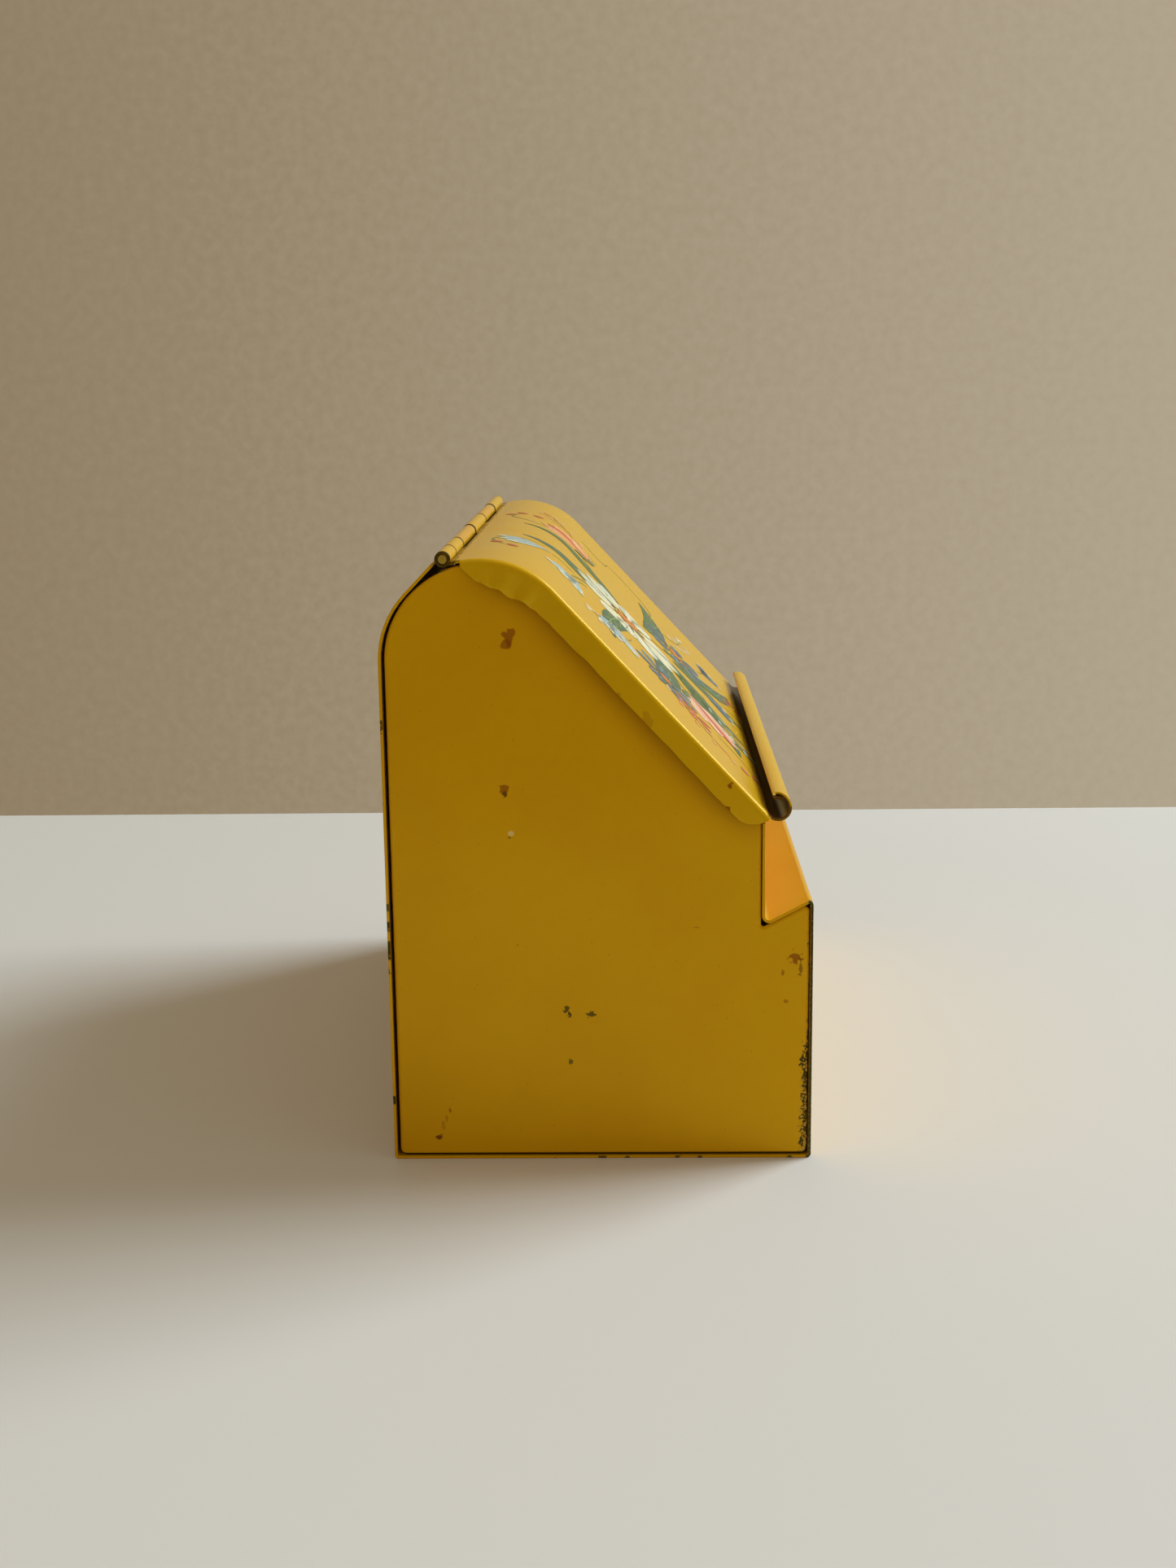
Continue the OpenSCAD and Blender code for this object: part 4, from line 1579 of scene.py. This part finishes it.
    def compose(self) -> None:
        """Paints the whole spray, from the leaves up."""
        heart = (-4.0, 22.0)
        self.stem(heart, (-27, 36), 0.1, 0.8)
        self.stem(heart, (16, 2), -0.12, 0.8)
        self.stem(heart, (-32, 2), 0.12, 0.7)
        self.stem(heart, (20, 37), 0.1, 0.8)
        for tip, width, bow in (
            ((-16, 50), 8.0, 0.12),
            ((4, 51), 6.5, -0.1),
            ((32, 48), 6.0, 0.14),
            ((-46, 25), 7.0, -0.12),
            ((38, 20), 6.5, 0.12),
            ((6, -11), 6.0, 0.12),
            ((-17, -10), 7.5, -0.14),
            ((-37, 47), 6.5, -0.12),
            ((-52, 14), 5.5, 0.1),
            ((-27, 52), 5.5, 0.1),
        ):
            self.leaf(polar(heart, 8, heading(heart, tip)), tip, width, bow)
        self.sprig((-34, 24), (-50, 42), 0.15, (CORAL, CREAM))
        self.sprig((-32, 18), (-48, 8), -0.15, (CREAM, CORAL))
        self.sprig((24, 26), (44, 33), 0.12, (CREAM, ROSE))
        self.sprig((24, 8), (40, -6), -0.12, (CORAL, CREAM))
        self.sprig((-6, 38), (-24, 52), 0.12, (SKY, CREAM))
        for base, tip, bow in (
            ((34, 24), (45, 10), 0.35),
            ((45, 10), (40, 2), -0.5),
            ((12, -4), (28, -12), -0.3),
            ((-22, -4), (-42, -11), 0.3),
            ((12, 42), (24, 51), 0.35),
            ((-40, 40), (-50, 49), -0.4),
        ):
            self.stem(base, tip, bow, 0.5)
        self.daisy((-13, 17), 12, 14.0, (CREAM, SKY))
        self.daisy((13, 31), 8, 10.0, (SLATE, SKY))
        self.daisy((-37, 27), 7, 8.0, (SLATE, SKY))
        self.daisy((-43, 34), 6, 5.0, (RED, ROSE))
        self.tulip((-24, 33), 130, 16, (ROSE, CREAM), RED)
        self.tulip((15, 6), -62, 14, (CORAL, CREAM), RED)
        for top, angle in (((-31, 4), 200), ((-27, -3), 250), ((-38, 13), 170)):
            self.bell(top, angle, 10.5, (SKY, CREAM))
        self.bell((0, 39), 75, 9, (SLATE, SKY))
        self.bell((30, 40), 20, 8.5, (SLATE, SKY))
        self.dots([(25, -14), (29, -12), (28, -8.5), (24, 51), (27, 48.5), (22, 47)], 2.6, (RED, ROSE))
        self.dots([(-41, -10), (-38, -13), (-46, 50), (-49, 47)], 2.4, (RED, ROSE))

    def on_lid(self, x: float, s: float, height: float) -> Vector:
        """Wraps a place on to the lid.

        Args:
            x: Distance across the lid in millimetres.
            s: Distance down the slope, negative on the crown.
            height: Height over the enamel.

        Returns:
            The place in metres.
        """
        plan = self.plan
        radius = plan.crown_radius + height
        if s >= 0:
            return Vector((x, *plan.down_slant(radius, s))) * MM
        angle = plan.slant_angle + math.degrees(s / plan.crown_radius)
        return Vector((x, *polar(plan.crown, radius, angle))) * MM

    def paint(self, piece: Piece, stroke: Stroke) -> None:
        """Adds a stroke as a fine grid, and moves its points to its outline on the lid."""
        length = math.dist(stroke.start, stroke.end)
        steps = max(6, math.ceil(length / self.cell))
        across = 2 if stroke.line else 6
        mesh = bmesh.from_edit_mesh(piece.data)
        before = len(mesh.verts)
        bpy.ops.mesh.primitive_grid_add(x_subdivisions=steps, y_subdivisions=across, size=1)
        mesh = bmesh.from_edit_mesh(piece.data)
        mesh.verts.ensure_lookup_table()
        streaks = [self.dice.random() ** 2 for _ in range(across + 1)]
        height = self.lift + stroke.layer * self.layer_lift
        tone, streak = Vector(stroke.tone), Vector(stroke.streak)
        for vertex in mesh.verts[before:]:
            along, side = vertex.co.x + 0.5, vertex.co.y * 2
            x, s = stroke.at(0.02 + 0.96 * along, side)
            share = streaks[round((side + 1) / 2 * across)] * (0.25 + 0.75 * along)
            self.tints += [*tone.lerp(streak, 0 if stroke.line else share), 1.0]
            vertex.co = self.on_lid(x, s, height)
        bmesh.update_edit_mesh(piece.data)

    def build(self, groups: Groups) -> Piece:
        """Paints every stroke into one film and dresses it."""
        self.compose()
        piece = start_mesh(self.name)
        bpy.ops.mesh.delete(type="VERT")
        for stroke in self.strokes:
            self.paint(piece, stroke)
        bpy.ops.object.mode_set(mode="OBJECT")
        paint = piece.data.color_attributes.new("paint", "FLOAT_COLOR", "POINT")
        paint.data.foreach_set("color", self.tints)
        self.face_out(piece)
        apply_modifier(piece, "SOLIDIFY", thickness=self.film * MM, offset=-1)
        coat(piece, self.finish(groups))
        smooth(piece)
        dress(piece, "lid")
        return piece

    def face_out(self, piece: Piece) -> None:
        """Turns the strokes that face into the lid outwards."""
        bpy.context.view_layer.objects.active = piece
        bpy.ops.object.mode_set(mode="EDIT")
        bpy.ops.mesh.select_mode(type="FACE")
        bpy.ops.mesh.select_all(action="DESELECT")
        mesh = bmesh.from_edit_mesh(piece.data)
        inside = Vector((0, *self.plan.down_slant(0, 0))) * MM
        down = self.plan.slant_down
        mesh.normal_update()
        for face in mesh.faces:
            arm = face.calc_center_median() - inside
            out = arm - down * max(0.0, arm.dot(down))
            face.select_set(face.normal.dot(out) < 0)
        bmesh.update_edit_mesh(piece.data)
        bpy.ops.mesh.flip_normals()
        bpy.ops.object.mode_set(mode="OBJECT")

    def finish(self, groups: Groups) -> Material:
        """Gives the film's finish: the strokes' colours, rubbed thin here and there."""

        def lay(skin: Skin) -> None:
            graph = skin.graph
            paint = graph.node("VertexColor", {"layer_name": "paint"}).outputs["Color"]
            rubbed = graph.math("MULTIPLY", skin.broken(1400, 0.52, 0.72), 0.3)
            skin.tone = graph.mix(rubbed, paint, skin.tone)

        return Enamel("flower_print_paint", LID_YELLOW_AS_LIT, 0.34, 1.4).build(groups, lay)


# ---------------------------------------------------------------- studio


@dataclass(frozen=True)
class Studio:
    """Camera, lamp, floor and backdrop, in metres."""

    focal_pixels: float = 2410.0
    picture_height: float = 1927.0
    sensor: float = 36.0
    camera_place: tuple[float, float, float] = (-0.3870, -0.00595, 0.1348)
    pitch: float = 12.13
    yaw: float = 1.37
    roll: float = -0.73
    wall_x: float = 0.20
    near_edge: float = -0.31
    horizon: float = 0.15
    overhead: float = 0.42
    wall_dim: tuple[float, ...] = (0.27, 0.205, 0.12, 1.0)
    wall_lit: tuple[float, ...] = (0.46, 0.39, 0.28, 1.0)
    wall_matt: tuple[float, ...] = (0.6, 0.53, 0.42, 1.0)
    wall_size: float = 1.4
    floor_white: tuple[float, ...] = (0.70, 0.682, 0.668, 1.0)
    floor_reflected_dark: tuple[float, ...] = (0.1, 0.09, 0.08, 1.0)
    floor_size: float = 8.0
    room_tone: tuple[float, ...] = (1.0, 0.85, 0.60, 1.0)
    window_place: tuple[float, float, float] = (0.85, -1.85, 1.4)
    window_size: float = 1.4
    window_power: float = 73.0
    window_tone: Colour = (0.84, 0.95, 1.0)
    window_aim: tuple[float, float, float] = (0.0, 0.0, 0.05)

    def camera(self) -> None:
        """Places the camera, level with the lid and square to the left end."""
        data = bpy.data.cameras.new("camera")
        data.sensor_width = self.sensor
        data.lens = self.focal_pixels / self.picture_height * self.sensor
        data.clip_start = 0.01
        camera = bpy.data.objects.new("camera", data)
        pitch, yaw, roll = (math.radians(a) for a in (self.pitch, self.yaw, self.roll))
        ahead = Vector((math.cos(pitch) * math.cos(yaw), math.cos(pitch) * math.sin(yaw), -math.sin(pitch)))
        right = Vector((math.sin(yaw), -math.cos(yaw), 0))
        up = right.cross(ahead)
        turned = right * math.cos(roll) + up * math.sin(roll)
        upright = up * math.cos(roll) - right * math.sin(roll)
        axes = Matrix((turned, upright, -ahead)).transposed()
        camera.matrix_world = Matrix.Translation(self.camera_place) @ axes.to_4x4()
        bpy.context.scene.collection.objects.link(camera)
        bpy.context.scene.camera = camera

    def window(self) -> None:
        """Adds the square soft lamp that faces the box."""
        data = bpy.data.lights.new("window", "AREA")
        data.size = self.window_size
        data.energy = self.window_power
        data.color = self.window_tone
        lamp = bpy.data.objects.new("window", data)
        lamp.location = self.window_place
        ahead = Vector(self.window_aim) - lamp.location
        lamp.rotation_euler = ahead.to_track_quat("-Z", "Y").to_euler()
        bpy.context.scene.collection.objects.link(lamp)

    def floor_finish(self) -> Material:
        """Builds the matt white of the table; beyond its near edge mirror rays see it dark, a painted dark
        reflection in the enamel.
        """
        graph, material = new_material("floor_white")
        away = graph.node("SeparateXYZ", Vector=graph.node("TexCoord").outputs["Object"]).outputs[0]
        # Painted reflection: mirror rays alone see the floor dark beyond its near edge.
        beyond = graph.ramp(away, self.near_edge, self.near_edge - 0.03)
        dark = graph.math("MULTIPLY", beyond, graph.node("LightPath").outputs["Is Glossy Ray"])
        sheen = {"Roughness": 0.5, "IOR": 1.33}
        white = graph.node("BsdfPrincipled", Base_Color=self.floor_white, **sheen).outputs[0]
        black = graph.node("BsdfDiffuse", Color=self.floor_reflected_dark).outputs[0]
        matt = graph.node("MixShader", a0=dark, a1=white, a2=black).outputs[0]
        graph.node("OutputMaterial", Surface=matt)
        return material

    def wall_finish(self) -> Material:
        """Builds the warm wall: camera and mirror rays see it glow with painted light, from dim to lit
        across it, and it is no bar to the window's light.
        """
        graph, material = new_material("backdrop_warm_grey")
        place = graph.node("TexCoord").outputs["Object"]
        axes = graph.node("SeparateXYZ", Vector=place).outputs
        plaster = graph.math("SUBTRACT", graph.noise(place, 330, 3.0), 0.5)
        tilt = graph.math("MULTIPLY_ADD", plaster, 0.14, axes[1])
        # Painted light: the wall glows from dim to lit across it, as if the window lit it.
        tone = graph.mix(graph.ramp(tilt, 0.28, -0.28), self.wall_dim, self.wall_lit)
        path = graph.node("LightPath").outputs
        seen = graph.math("MAXIMUM", path["Is Camera Ray"], path["Is Glossy Ray"])
        seen = graph.math("MAXIMUM", seen, path["Is Transmission Ray"])
        glow = graph.node("Emission", Color=tone, Strength=1.0).outputs[0]
        matt = graph.node("BsdfDiffuse", Color=self.wall_matt).outputs[0]
        wall = graph.node("MixShader", a0=seen, a1=matt, a2=glow).outputs[0]
        back = graph.node("NewGeometry").outputs["Backfacing"]
        behind = graph.math("MAXIMUM", back, path["Is Shadow Ray"])
        clear = graph.node("BsdfTransparent").outputs[0]
        both = graph.node("MixShader", a0=behind, a1=wall, a2=clear).outputs[0]
        graph.node("OutputMaterial", Surface=both)
        return material

    def plane(self, name: str, place: Sequence[float], turn: Euler, size: float) -> Piece:
        """Adds a large stage plane."""
        deselect_objects()
        bpy.ops.mesh.primitive_plane_add(size=size, location=place, rotation=turn)
        plane = added(name)
        return plane

    def room(self) -> None:
        """Lights the room softly from above, and less towards its horizon."""
        world = bpy.data.worlds.new("room")
        bpy.context.scene.world = world
        world.use_nodes = True
        world.node_tree.nodes.clear()
        graph = Graph(world.node_tree)
        rise = graph.node("SeparateXYZ", Vector=graph.node("TexCoord").outputs["Generated"]).outputs[2]
        level = graph.math("MULTIPLY_ADD", graph.math("MAXIMUM", rise, 0.0), self.overhead, self.horizon)
        light = graph.node("Background", Color=self.room_tone, Strength=level)
        graph.node("OutputWorld", Surface=light.outputs[0])

    def build(self) -> None:
        """Sets up the whole studio."""
        self.camera()
        floor = self.plane("floor", (0, 0, 0), Euler((0, 0, 0)), self.floor_size)
        floor.data.materials.append(self.floor_finish())
        upright = Euler((0, -math.pi / 2, 0))
        wall = self.plane("backdrop", (self.wall_x, 0, 0), upright, self.wall_size)
        wall.data.materials.append(self.wall_finish())
        self.window()
        self.room()
        bpy.context.scene.view_settings.view_transform = "Standard"


def main() -> None:
    """Builds the studio and every piece of the box in order."""
    logging.basicConfig(level=logging.INFO, format="%(name)s: %(message)s")
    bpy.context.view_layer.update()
    plan = Plan.from_frame()
    Studio().build()
    groups = Groups()
    BodyWrap(plan).build(groups)
    for end in End:
        EndPan(plan, end).build(groups)
    Lid(plan).build(groups)
    HingePin(plan).build(groups)
    LidPrint(plan).build(groups)
    deselect_objects()


if __name__ == "__main__":
    main()
